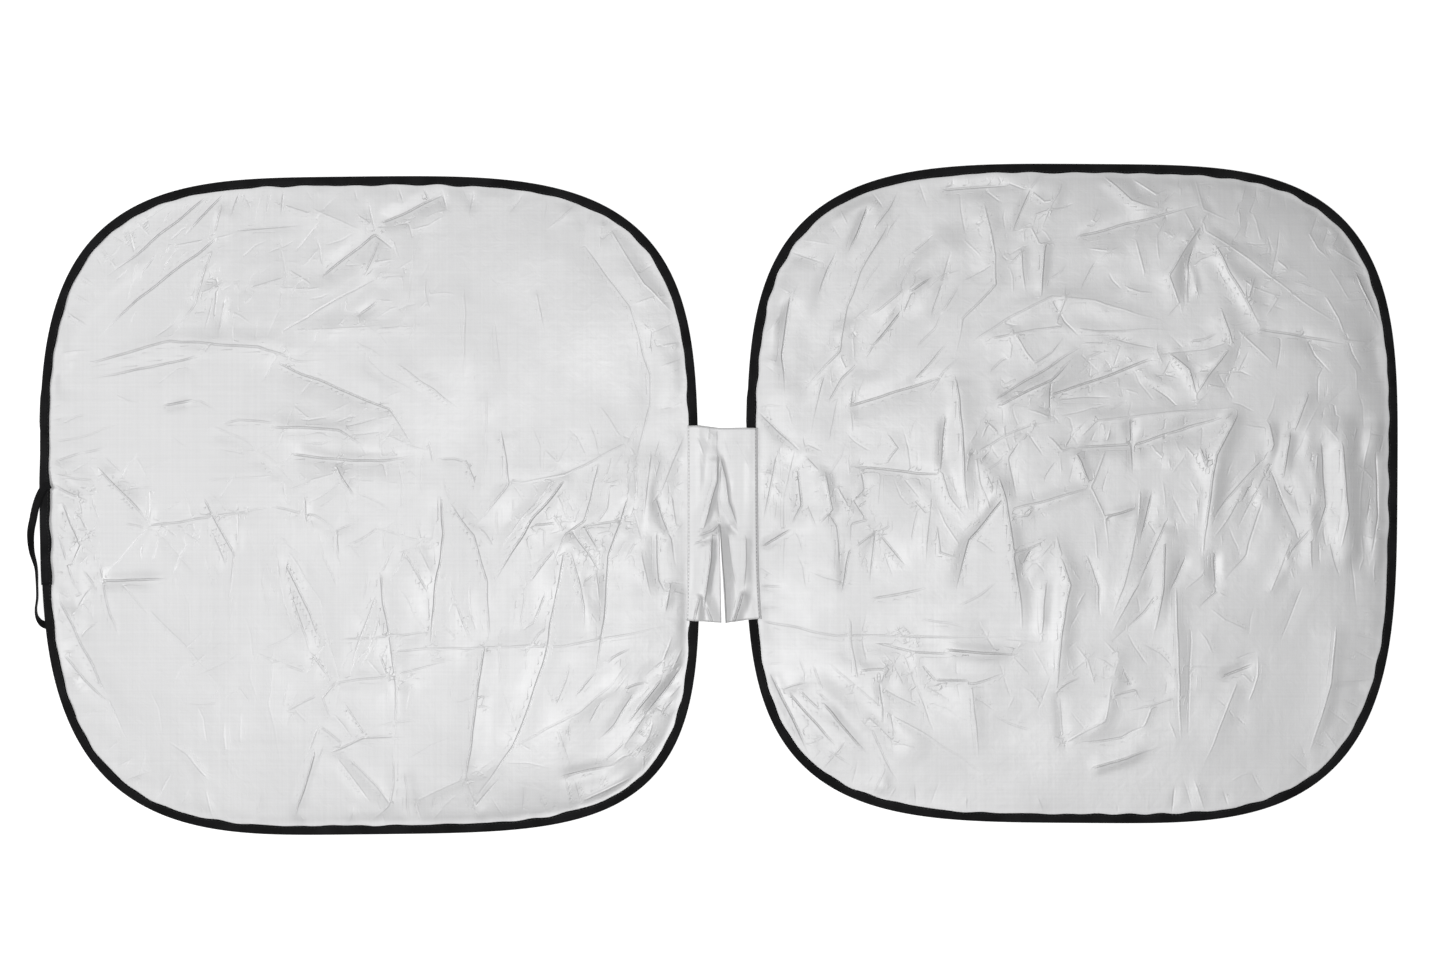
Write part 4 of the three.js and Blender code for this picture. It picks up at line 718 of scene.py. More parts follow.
class CreasedCloth:
    """Collects creases into a height, and keeps each point's place beside its sharpest crest."""

    def __init__(self, x, y, rng):
        self.rng = rng
        self.x = x + CREASE_WANDER * value_noise(x, y, CREASE_WANDER_SIZE, rng)
        self.y = y + CREASE_WANDER * value_noise(x, y, CREASE_WANDER_SIZE, rng)
        self.ridges = np.zeros(x.shape)
        self.furrows = np.zeros(x.shape)
        self.small = np.zeros(x.shape)
        self.crest_side = np.full(x.shape, CREST_REACH)
        self.crest_rise = np.zeros(x.shape)
        self.claimed = np.zeros(x.shape)
        self.heading = np.zeros(x.shape)

    def add(self, rise, width, points, sharpness=1.6, small=False, crest=1.0, lean=None):
        """One crease: its rise, the half width of its foot and its points, all in metres.

        The lean makes one flank steeper than the other, and is random if it isn't given.
        """
        ends = np.array(points, float)
        reach = max(width * 1.4, CREST_CLAIM)
        low, high = ends.min(axis=0) - reach, ends.max(axis=0) + reach
        near = (self.x > low[0]) & (self.x < high[0]) & (self.y > low[1]) & (self.y < high[1])
        if not near.any():
            return
        distance, side, share, heading = line_distance(self.x[near], self.y[near], points)
        lean = self.rng.uniform(-0.35, 0.35) if lean is None else lean
        # Full soon after its start, and dying away over its last third
        strength = np.clip(share / 0.08 + 0.4, 0, 1) * np.clip((1 - share) / 0.35 + 0.1, 0, 1)
        rounded = np.sqrt(distance**2 + CREASE_ROUNDING**2)
        foot = width * (1 + lean * side)
        height = rise * strength * np.clip(1 - rounded / foot, 0, None) ** sharpness
        if small:
            self.small[near] += height
        elif rise > 0:
            self.ridges[near] = np.maximum(self.ridges[near], height)
        else:
            self.furrows[near] = np.minimum(self.furrows[near], height)
        self.add_crest(near, distance, side, heading, rise, strength, crest)

    def add_crest(self, near, distance, side, heading, rise, strength, crest):
        """The crisp crest of a crease. It gives way to an earlier one that runs nearly beside it."""
        claimed = self.claimed[near]
        alike = np.abs(np.cos(heading - self.heading[near])) > CREST_ALIKE_COSINE
        room = np.where(alike, 1 - smooth_step(0, CREST_CLAIM_FADE, claimed), 1)
        rise_here = crest * abs(rise) * strength * np.clip(1 - distance / CREST_REACH, 0, 1) * room
        claim = np.clip(1 - distance / CREST_CLAIM, 0, 1) * np.minimum(1, strength)
        self.heading[near] = np.where(claim > claimed, heading, self.heading[near])
        self.claimed[near] = np.maximum(claim, claimed)
        stronger = rise_here > np.abs(self.crest_rise[near])
        self.crest_side[near] = np.where(stronger, side * distance, self.crest_side[near])
        self.crest_rise[near] = np.where(stronger, np.sign(rise) * rise_here, self.crest_rise[near])

    def scatter(self, patch, middle_x, middle_y):
        """The small creases of one patch, each with a knee a little past its middle."""
        for _ in range(patch.count):
            x = middle_x + (patch.x + patch.half_size[0] * self.rng.uniform(-1, 1)) * MM
            y = middle_y + (patch.y + patch.half_size[1] * self.rng.normal(0, 0.55)) * MM
            lean = math.radians(patch.lean + patch.spread * self.rng.normal())
            bend = self.rng.uniform(-0.4, 0.4)
            length = self.rng.uniform(*patch.lengths) * MM
            rise = patch.rise * self.rng.uniform(0.35, 1) * self.rng.choice([-1, 1]) * MM
            knee = moved((x, y), length * 0.55, lean)
            end = moved(knee, length * 0.45, lean + bend)
            width = self.rng.uniform(6, 14) * MM
            self.add(rise, width, [(x, y), knee, end], sharpness=1.8, small=True, crest=1.5)

    def height(self):
        """Sum of the ridges, the furrows and the small creases."""
        return self.ridges + self.furrows + self.small


def off_floor(height, softness):
    """A height eased back up where it would sink to the floor."""
    over = height - LEAST_HEIGHT
    return LEAST_HEIGHT + (over + np.sqrt(over**2 + softness**2)) / 2


def crease_width(points):
    """Half width of a crease's foot: long creases have broad flanks."""
    steps = np.diff(np.array(points, float), axis=0)
    length = float(np.hypot(steps[:, 0], steps[:, 1]).sum())
    return float(np.clip(0.2 * length, 7 * MM, 22 * MM))


def new_object(name, data):
    """An object in the scene, at the origin."""
    thing = bpy.data.objects.new(name, data)
    bpy.context.scene.collection.objects.link(thing)
    return thing


def mesh_piece(name, points, faces, material, attributes=None, uvs=None):
    """A smooth-shaded mesh object. Attributes hold one value a point, and uvs one pair a point."""
    mesh = bpy.data.meshes.new(name)
    mesh.from_pydata(np.asarray(points).tolist(), [], [list(map(int, face)) for face in faces])
    mesh.validate()
    mesh.polygons.foreach_set("use_smooth", [True] * len(mesh.polygons))
    for key, values in (attributes or {}).items():
        attribute = mesh.attributes.new(key, "FLOAT", "POINT")
        attribute.data.foreach_set("value", np.asarray(values, np.float32))
    if uvs is not None:
        corners = np.zeros(len(mesh.loops), np.int32)
        mesh.loops.foreach_get("vertex_index", corners)
        layer = mesh.uv_layers.new(name="UVMap")
        layer.data.foreach_set("uv", np.asarray(uvs, np.float32)[corners].ravel())
    mesh.materials.append(material)
    mesh.update()
    return new_object(name, mesh)


def point_normals(points, quads):
    """Normals of a surface of quads, weighted by area."""
    a, b, c, d = (points[quads[:, k]] for k in range(4))
    faces = np.cross(c - a, d - b)
    normals = np.zeros_like(points)
    for k in range(4):
        np.add.at(normals, quads[:, k], faces)
    return normals / np.linalg.norm(normals, axis=1)[:, None]


def cloth_piece(name, points, quads, thickness, material, attributes):
    """Gives a surface of quads the cloth's thickness, and closes its edges."""
    quads = np.asarray(quads)
    normals = point_normals(points, quads)
    count = len(points)
    both = np.concatenate([points + normals * thickness / 2, points - normals * thickness / 2])
    edges = {}
    for a, b in np.stack([quads, np.roll(quads, -1, axis=1)], axis=2).reshape(-1, 2).tolist():
        if (b, a) in edges:
            del edges[(b, a)]
        else:
            edges[(a, b)] = True
    rim = [(b, a, a + count, b + count) for a, b in edges]
    faces = quads.tolist() + (quads[:, ::-1] + count).tolist() + rim
    doubled = {key: np.concatenate([values, values]) for key, values in attributes.items()}
    return mesh_piece(name, both, faces, material, doubled)


def swept_piece(name, sections, material, uvs):
    """Joins a row of closed sections into one body with capped ends."""
    rows, columns = sections.shape[:2]
    index = np.arange(rows * columns).reshape(rows, columns)
    around = np.roll(index, -1, axis=1)
    faces = np.stack([index[:-1], around[:-1], around[1:], index[1:]], axis=2).reshape(-1, 4).tolist()
    faces.append(index[0][::-1].tolist())
    faces.append(index[-1].tolist())
    piece = mesh_piece(name, sections.reshape(-1, 3), faces, material, uvs=uvs.reshape(-1, 2))
    face_outwards(piece)
    return piece


def face_outwards(piece):
    """Turns every face outwards, by the sign of the closed mesh's volume."""
    mesh = piece.data
    mesh.calc_loop_triangles()
    points = np.zeros(len(mesh.vertices) * 3, np.float32)
    mesh.vertices.foreach_get("co", points)
    corners = np.zeros(len(mesh.loop_triangles) * 3, np.int32)
    mesh.loop_triangles.foreach_get("vertices", corners)
    a, b, c = points.reshape(-1, 3)[corners].reshape(-1, 3, 3).transpose(1, 0, 2)
    if np.einsum("ij,ij->i", a, np.cross(b, c)).sum() < 0:
        mesh.flip_normals()


def feed(tree, node, inputs):
    """Links a node's inputs to sockets, or sets them to plain values."""
    for key, value in inputs.items():
        if isinstance(value, bpy.types.NodeSocket):
            tree.links.new(value, node.inputs[key])
        else:
            node.inputs[key].default_value = value


def add_node(tree, kind, inputs=None, **settings):
    """A node with its settings and its inputs."""
    node = tree.nodes.new(kind)
    for key, value in settings.items():
        setattr(node, key, value)
    feed(tree, node, inputs or {})
    return node


def new_group(name, kind, inputs, outputs):
    """An empty node group with its named sockets, and its input and output nodes."""
    tree = bpy.data.node_groups.new(name, kind)
    for way, sockets in (("INPUT", inputs), ("OUTPUT", outputs)):
        for key, value in sockets.items():
            tree.interface.new_socket(name=key, in_out=way, socket_type=f"NodeSocket{value}")
    return tree, tree.nodes.new("NodeGroupInput"), tree.nodes.new("NodeGroupOutput")


def math_node(tree, operation, first, second=None):
    """The result of one step of arithmetic."""
    inputs = {0: first} if second is None else {0: first, 1: second}
    return add_node(tree, "ShaderNodeMath", inputs, operation=operation).outputs[0]


def stretched(tree, coordinates, factors):
    """Coordinates multiplied by a factor along each axis."""
    inputs = {0: coordinates, 1: factors}
    return add_node(tree, "ShaderNodeVectorMath", inputs, operation="MULTIPLY").outputs[0]


def noise(tree, coordinates, scale, detail, roughness=0.5, distortion=0.0):
    """Cloudy values between 0 and 1."""
    inputs = {
        "Vector": coordinates,
        "Scale": scale,
        "Detail": detail,
        "Roughness": roughness,
        "Distortion": distortion,
    }
    return add_node(tree, "ShaderNodeTexNoise", inputs).outputs["Fac"]


def object_place(tree):
    """The place of a point on the piece."""
    return add_node(tree, "ShaderNodeTexCoord").outputs["Object"]


def bump(tree, distance, height, strength=1.0, over=None):
    """A normal that follows a height, over the normal of a coarser bump if one is given."""
    inputs = {"Strength": strength, "Distance": distance, "Height": height}
    if over is not None:
        inputs["Normal"] = over
    return add_node(tree, "ShaderNodeBump", inputs).outputs["Normal"]


def threads_group():
    """Warp and weft: two sets of uneven threads at right angles, as a height and a tone."""
    name = "Woven threads"
    if name in bpy.data.node_groups:
        return bpy.data.node_groups[name]
    inputs = {"Coordinates": "Vector", "Threads per Metre": "Float"}
    tree, start, end = new_group(name, "ShaderNodeTree", inputs, {"Height": "Float", "Tone": "Float"})
    threads = []
    for along in ((1.0, 0.012, 0.012), (0.012, 1.0, 0.012)):
        across = stretched(tree, start.outputs["Coordinates"], along)
        threads.append(noise(tree, across, start.outputs["Threads per Metre"], 2.0))
    both = math_node(tree, "ADD", *threads)
    limits = {"Value": both, "From Min": 0.7, "From Max": 1.3}
    tone = add_node(tree, "ShaderNodeMapRange", limits, clamp=True)
    feed(tree, end, {"Height": both, "Tone": tone.outputs[0]})
    return tree


def handling_group():
    """Soft cloudy marks from handling, as a mask."""
    name = "Handling marks"
    if name in bpy.data.node_groups:
        return bpy.data.node_groups[name]
    inputs = {"Coordinates": "Vector", "Marks per Metre": "Float"}
    tree, start, end = new_group(name, "ShaderNodeTree", inputs, {"Mask": "Float"})
    clouds = noise(tree, start.outputs["Coordinates"], start.outputs["Marks per Metre"], 5.0, roughness=0.6)
    limits = {"Value": clouds, "From Min": 0.32, "From Max": 0.68}
    mask = add_node(tree, "ShaderNodeMapRange", limits, interpolation_type="SMOOTHSTEP")
    feed(tree, end, {"Mask": mask.outputs[0]})
    return tree


def handling_marks(tree, coordinates, per_metre):
    """The mask of the handling marks, placed in one material."""
    inputs = {"Coordinates": coordinates, "Marks per Metre": per_metre}
    return add_node(tree, "ShaderNodeGroup", inputs, node_tree=handling_group()).outputs["Mask"]


def new_material(name):
    """A material with nothing but a shader linked to its output."""
    material = bpy.data.materials.new(name)
    material.use_nodes = True
    tree = material.node_tree
    tree.nodes.clear()
    shader = tree.nodes.new("ShaderNodeBsdfPrincipled")
    output = tree.nodes.new("ShaderNodeOutputMaterial")
    tree.links.new(shader.outputs[0], output.inputs["Surface"])
    return material, tree, shader


def mixed_colour(tree, mask, low, high):
    """A colour between two, by a mask. The first may be a plain colour or a socket."""
    first = low if isinstance(low, bpy.types.NodeSocket) else (*low, 1.0)
    inputs = {"Factor": mask, 6: first, 7: (*high, 1.0)}
    return add_node(tree, "ShaderNodeMix", inputs, data_type="RGBA").outputs[2]


def toned(tree, mask, colour, low, high):
    """A colour made darker or brighter by a mask, between two factors."""
    ends = ([channel * factor for channel in colour] for factor in (low, high))
    return mixed_colour(tree, mask, *ends)


def mapped(tree, value, low, high):
    """A mask from 0 to 1, stretched between two values."""
    inputs = {"Value": value, "To Min": low, "To Max": high}
    return add_node(tree, "ShaderNodeMapRange", inputs).outputs[0]


def silver_cloth():
    """Satin silver coating on a thin weave, with crisp crests along the creases."""
    name = "silver_coated_cloth"
    if name in bpy.data.materials:
        return bpy.data.materials[name]
    settings = bpy.context.scene.shade_cloth
    material, tree, shader = new_material(name)
    place = object_place(tree)
    inputs = {"Coordinates": place, "Threads per Metre": 420.0}
    threads = add_node(tree, "ShaderNodeGroup", inputs, node_tree=threads_group()).outputs
    marks = handling_marks(tree, place, 9.0)
    woven = toned(tree, threads["Tone"], settings.colour, 0.975, 1.025)
    handled = [channel * 0.8 for channel in settings.colour]

    side = add_node(tree, "ShaderNodeAttribute", attribute_name="crease_side").outputs["Fac"]
    rise = add_node(tree, "ShaderNodeAttribute", attribute_name="crease_rise").outputs["Fac"]
    inputs = {
        "Value": math_node(tree, "ABSOLUTE", side),
        "From Min": 0.0,
        "From Max": settings.crest_width,
        "To Min": 1.0,
        "To Max": 0.0,
    }
    crest = add_node(tree, "ShaderNodeMapRange", inputs, interpolation_type="SMOOTHSTEP").outputs[0]
    crisp = bump(tree, settings.crest_share, math_node(tree, "MULTIPLY", crest, rise))
    rumple = noise(tree, place, 70.0, 3.0, roughness=0.55, distortion=0.6)
    rumpled = bump(tree, settings.rumple, rumple, over=crisp)
    finish = {
        "Base Color": mixed_colour(tree, mapped(tree, marks, 0.0, 0.05), woven, handled),
        "Roughness": mapped(tree, marks, settings.roughness - 0.04, settings.roughness + 0.05),
        "Metallic": settings.metal,
        "Normal": bump(tree, settings.weave, threads["Height"], over=rumpled),
    }
    feed(tree, shader, finish)
    return material


def black_webbing(name, settings, ribs_per_metre):
    """Matt black woven tape: ribs across it, and streaks along it where the folded edge has rubbed."""
    if name in bpy.data.materials:
        return bpy.data.materials[name]
    material, tree, shader = new_material(name)
    along = add_node(tree, "ShaderNodeUVMap", uv_map="UVMap").outputs["UV"]
    streak = noise(tree, stretched(tree, along, (6.0, 800.0, 1.0)), 1.0, 3.0)
    rubbed = math_node(tree, "MULTIPLY", streak, handling_marks(tree, object_place(tree), 26.0))
    # A wave texture of scale 1 has 20 / (2 pi) bands a metre
    inputs = {"Vector": along, "Scale": ribs_per_metre * 2 * math.pi / 20, "Distortion": 0.6}
    ribs = add_node(tree, "ShaderNodeTexWave", inputs, wave_type="BANDS", bands_direction="X")
    ribbed = bump(tree, 0.12 * MM, ribs.outputs["Fac"], strength=0.6)
    finish = {
        "Base Color": toned(tree, rubbed, settings.colour, 0.7, 2.6),
        "Roughness": mapped(tree, rubbed, settings.roughness + 0.08, settings.roughness - 0.08),
        "Specular IOR Level": 0.15,
        "Normal": bump(tree, 0.3 * MM, streak, strength=0.7, over=ribbed),
    }
    feed(tree, shader, finish)
    return material


def sewing_thread():
    """Dark twisted thread, a little glossier than the tape."""
    name = "sewing_thread"
    if name in bpy.data.materials:
        return bpy.data.materials[name]
    material, tree, shader = new_material(name)
    twist = noise(tree, object_place(tree), 1500.0, 1.0)
    finish = {
        "Base Color": toned(tree, twist, bpy.context.scene.shade_thread.colour, 0.6, 1.4),
        "Roughness": mapped(tree, twist, 0.4, 0.6),
        "Normal": bump(tree, 0.1 * MM, twist, strength=0.5),
    }
    feed(tree, shader, finish)
    return material


def steel(name, colour, roughness, marks_per_metre):
    """Plain steel with the fine marks of the wire's drawing or of the sleeve's plating."""
    material, tree, shader = new_material(name)
    marks = handling_marks(tree, object_place(tree), marks_per_metre)
    finish = {
        "Base Color": toned(tree, marks, colour, 0.85, 1.1),
        "Roughness": mapped(tree, marks, roughness - 0.08, roughness + 0.12),
        "Metallic": 1.0,
    }
    feed(tree, shader, finish)
    return material


def bright_to_camera(tree):
    """1 where a camera, glossy or transmission ray arrives, 0 where the surface only lights the object."""
    path = add_node(tree, "ShaderNodeLightPath").outputs
    seen = math_node(tree, "MAXIMUM", path["Is Camera Ray"], path["Is Glossy Ray"])
    return math_node(tree, "MAXIMUM", seen, path["Is Transmission Ray"])


def white_floor():
    """White floor that keeps the object's shadow."""
    settings = bpy.context.scene.shade_stage
    material, tree, shader = new_material("white_floor")
    grain = noise(tree, object_place(tree), 40.0, 3.0)
    finish = {
        "Base Color": mixed_colour(tree, grain, (0.84, 0.84, 0.84), (0.86, 0.86, 0.86)),
        "Roughness": 0.9,
        "Emission Color": WHITE,
        "Emission Strength": math_node(tree, "MULTIPLY", bright_to_camera(tree), settings.floor_glow),
    }
    feed(tree, shader, finish)
    return material


class ShadeCloth(bpy.types.PropertyGroup):
    thickness: FloatProperty(
        name="Thickness", description="Thickness of one ply", default=CLOTH_THICKNESS, unit="LENGTH"
    )
    step: FloatProperty(
        name="Grid Step", description="Distance between the cloth's points", default=3.25 * MM, unit="LENGTH"
    )
    crown: FloatProperty(
        name="Crown", description="Rise of a panel's middle over its rim", default=3.6 * MM, unit="LENGTH"
    )
    colour: FloatVectorProperty(
        name="Colour", description="Colour of the silver coating", default=(0.76, 0.76, 0.765),
        subtype="COLOR", size=3, min=0, max=1,
    )
    roughness: FloatProperty(name="Roughness", description="Roughness of the silver coating", default=0.56)
    metal: FloatProperty(name="Metal", description="How metallic the coating looks", default=0.35)
    crest_width: FloatProperty(
        name="Crest Width", description="Half width of a crisp crest", default=1.7 * MM, unit="LENGTH"
    )
    crest_share: FloatProperty(
        name="Crest Share", description="Crest's height as a share of the crease's rise", default=0.34,
        subtype="FACTOR",
    )
    rumple: FloatProperty(
        name="Rumple", description="Height of the fine rumples", default=0.35 * MM, unit="LENGTH"
    )
    weave: FloatProperty(
        name="Weave", description="Height of the threads", default=0.02 * MM, unit="LENGTH"
    )


class ShadeTape(bpy.types.PropertyGroup):
    step: FloatProperty(
        name="Step", description="Distance between the tape's sections", default=5 * MM, unit="LENGTH"
    )
    wave: FloatProperty(
        name="Wave", description="How far the tape's inner edge wanders", default=0.7 * MM, unit="LENGTH"
    )
    pucker: FloatProperty(
        name="Pucker", description="Depth of the puckers on its inner edge", default=0.45 * MM, unit="LENGTH"
    )
    colour: FloatVectorProperty(
        name="Colour", description="Colour of the tape", default=(0.005, 0.005, 0.0055), subtype="COLOR",
        size=3, min=0, max=1,
    )
    roughness: FloatProperty(name="Roughness", description="Roughness of the tape", default=0.72)


class ShadeBridge(bpy.types.PropertyGroup):
    rows: IntProperty(name="Rows", description="Rows of faces down the bridge", default=84)
    seam_inset: FloatProperty(
        name="Seam Inset", description="How far inwards the bridge's top is sewn", default=10.8 * MM,
        unit="LENGTH",
    )
    seam_spread: FloatProperty(
        name="Seam Spread", description="How much further inwards the bottom is sewn", default=2.4 * MM,
        unit="LENGTH",
    )
    rest: FloatProperty(
        name="Rest", description="Height of the bridge's middle", default=2.4 * MM, unit="LENGTH"
    )
    slit_left: FloatProperty(
        name="Slit Left", description="Left lip of the slit at its bottom", default=2.1 * MM, unit="LENGTH"
    )
    slit_width: FloatProperty(
        name="Slit Width", description="Width of the slit at its bottom", default=4.3 * MM, unit="LENGTH"
    )


class ShadeStrap(bpy.types.PropertyGroup):
    width: FloatProperty(name="Width", description="Width of the elastic", default=8 * MM, unit="LENGTH")
    thickness: FloatProperty(
        name="Thickness", description="Thickness of the elastic", default=STRAP_THICKNESS, unit="LENGTH"
    )
    steps: IntProperty(name="Steps", description="Sections along the elastic", default=260)
    colour: FloatVectorProperty(
        name="Colour", description="Colour of the elastic", default=(0.004, 0.004, 0.0045),
        subtype="COLOR", size=3, min=0, max=1,
    )
    roughness: FloatProperty(name="Roughness", description="Roughness of the elastic", default=0.75)


class ShadeThread(bpy.types.PropertyGroup):
    pitch: FloatProperty(
        name="Pitch", description="Distance from stitch to stitch", default=3.8 * MM, unit="LENGTH"
    )
    stitch: FloatProperty(
        name="Stitch", description="Length of one stitch", default=2.7 * MM, unit="LENGTH"
    )
    radius: FloatProperty(
        name="Radius", description="Radius of the thread", default=0.2 * MM, unit="LENGTH"
    )
    colour: FloatVectorProperty(
        name="Colour", description="Colour of the thread", default=(0.02, 0.02, 0.021), subtype="COLOR",
        size=3, min=0, max=1,
    )


class ShadeStage(bpy.types.PropertyGroup):
    camera_height: FloatProperty(
        name="Camera Height", description="Camera's height over the shade", default=3.0, unit="LENGTH"
    )
    view_width: FloatProperty(
        name="View Width", description="Width that the picture takes in", default=1.5451, unit="LENGTH"
    )
    side_power: FloatProperty(
        name="Side Power", description="Power of the lamp at the left", default=20.0, unit="POWER"
    )
    side_size: FloatProperty(
        name="Side Size", description="Diameter of the lamp at the left", default=1.0, unit="LENGTH"
    )
    side_place: FloatVectorProperty(
        name="Side Place", description="Where the lamp at the left stands", default=(-2.25, 0.3, 1.5),
        subtype="TRANSLATION", unit="LENGTH", size=3,
    )
    front_power: FloatProperty(
        name="Front Power", description="Power of the lamp beside the camera", default=23.5, unit="POWER"
    )
    front_size: FloatProperty(
        name="Front Size", description="Diameter of the lamp beside the camera", default=0.5, unit="LENGTH"
    )
    front_place: FloatVectorProperty(
        name="Front Place", description="Where the lamp beside the camera hangs",
        default=(-0.03, -0.36, 2.5), subtype="TRANSLATION", unit="LENGTH", size=3,
    )
    fill: FloatProperty(name="Fill", description="Strength of the plain light from all round", default=0.34)
    floor_glow: FloatProperty(
        name="Floor Glow", description="What lifts the floor to white in the picture", default=0.6
    )


def on_body(piece, replaced=()):
    """Fixes a finished piece to the body, and hides the solids it stands for."""
    if replaced:
        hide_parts(*replaced)
    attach(piece, BODY)


def soft_lamp(name, place, size, power):
    """A round soft lamp that points at the middle of the shade."""
    light = bpy.data.lights.new(name, "AREA")
    light.shape = "DISK"
    light.size = size
    light.energy = power
    lamp = new_object(name, light)
    lamp.location = place
    lamp.rotation_euler = (-Vector(place)).to_track_quat("-Z", "Y").to_euler()


class SHADE_OT_stage(bpy.types.Operator):
    """Make the camera, the floor and the light"""

    bl_idname = "sunshade.stage"
    bl_label = "Camera, Floor and Light"

    def execute(self, context):
        scene = context.scene
        settings = scene.shade_stage

        lens = bpy.data.cameras.new("camera")
        lens.sensor_width = SENSOR_WIDTH
        lens.lens = SENSOR_WIDTH * settings.camera_height / settings.view_width
        camera = new_object("camera", lens)
        camera.location = (*VIEW_MIDDLE, settings.camera_height)
        scene.camera = camera

        signs = [(-1, -1), (1, -1), (1, 1), (-1, 1)]
        corners = [(x * FLOOR_HALF, y * FLOOR_HALF, -FLOOR_UNDER) for x, y in signs]
        mesh_piece("floor", corners, [(0, 1, 2, 3)], white_floor())

        soft_lamp("side_lamp", settings.side_place, settings.side_size, settings.side_power)
        soft_lamp("front_lamp", settings.front_place, settings.front_size, settings.front_power)

        world = bpy.data.worlds.new("plain")
        world.use_nodes = True
        tree = world.node_tree
        tree.nodes.clear()
        lit = add_node(tree, "ShaderNodeBackground", {"Color": WHITE, "Strength": settings.fill})
        seen = add_node(tree, "ShaderNodeBackground", {"Color": WHITE, "Strength": 1.0})
        path = add_node(tree, "ShaderNodeLightPath")
        sockets = {0: path.outputs["Is Camera Ray"], 1: lit.outputs[0], 2: seen.outputs[0]}
        mix = add_node(tree, "ShaderNodeMixShader", sockets)
        output = tree.nodes.new("ShaderNodeOutputWorld")
        tree.links.new(mix.outputs[0], output.inputs["Surface"])
        scene.world = world
        scene.view_settings.view_transform = "Standard"
        return {"FINISHED"}


def superellipse_grid(hoop, count):
    """A square grid of points stretched over a panel.

    Gives their places and angles, the outline's and their own radius, and their distance from the edge.
    """
    line = np.linspace(-1, 1, count + 1)
    u, v = np.meshgrid(line, line)
    across, up = hoop.reaches(u, v)
    power = hoop.powers(u, v)
    x = across * u * (1 - np.abs(v) ** power / 2) ** (1 / power)
    y = up * v * (1 - np.abs(u) ** power / 2) ** (1 / power)
    angle = np.arctan2(y, x)
    outline = hoop.radius(angle)
    slant = hoop.slant(angle)
    share = np.hypot(x, y) / outline
    radius = share * (outline - CLOTH_EDGE_INSET / slant)
    return *hoop.turned(radius, angle), angle, outline, radius, (outline - radius) * slant


def blurred(values):
    """One pass of a three by three blur that leaves the border as it is."""
    result = values.copy()
    rows = (values[:-2] + 2 * values[1:-1] + values[2:]) / 4
    result[1:-1, 1:-1] = (rows[:, :-2] + 2 * rows[:, 1:-1] + rows[:, 2:]) / 4
    return result


def bridge_hold(hoop, angle, y, inset):
    """1 where the bridge cloth holds a panel down, fading to 0 around it."""
    low, high = BRIDGE_BOTTOM - BRIDGE_HOLDS_PAST, BRIDGE_TOP + BRIDGE_HOLDS_PAST
    above = smooth_step(low - BRIDGE_HOLD_FADE, low, y)
    below = 1 - smooth_step(high, high + BRIDGE_HOLD_FADE, y)
    held = above * below * (1 - smooth_step(BRIDGE_HOLD_INSET, BRIDGE_HOLD_END, inset))
    return np.where(np.sign(np.cos(angle)) == hoop.facing, held, 0)


def rim_gathers(cloth, rim, rng):
    """Short creases that run inwards from the tape, more of them round the corners."""
    for _ in range(RIM_GATHERS):
        along = rng.uniform(0, rim.length)
        bend = rng.uniform(0, 1)
        corner = abs(math.sin(2 * rim.at(rim.angles, along)))
        if bend > 0.25 + 0.75 * corner**2:
            continue
        length = rng.uniform(12, 46) * MM * (0.6 + 0.4 * corner)
        sway = rng.normal(0, 0.35) * length
        start = rim.place(along, TAPE_WIDTH - 1 * MM)
        end = rim.place(along + sway, TAPE_WIDTH + length)
        rise = rng.uniform(0.4, 1.3) * rng.choice([-1, 1]) * MM
        cloth.add(rise, rng.uniform(4, 9) * MM, [start, end], sharpness=1.4, small=True)


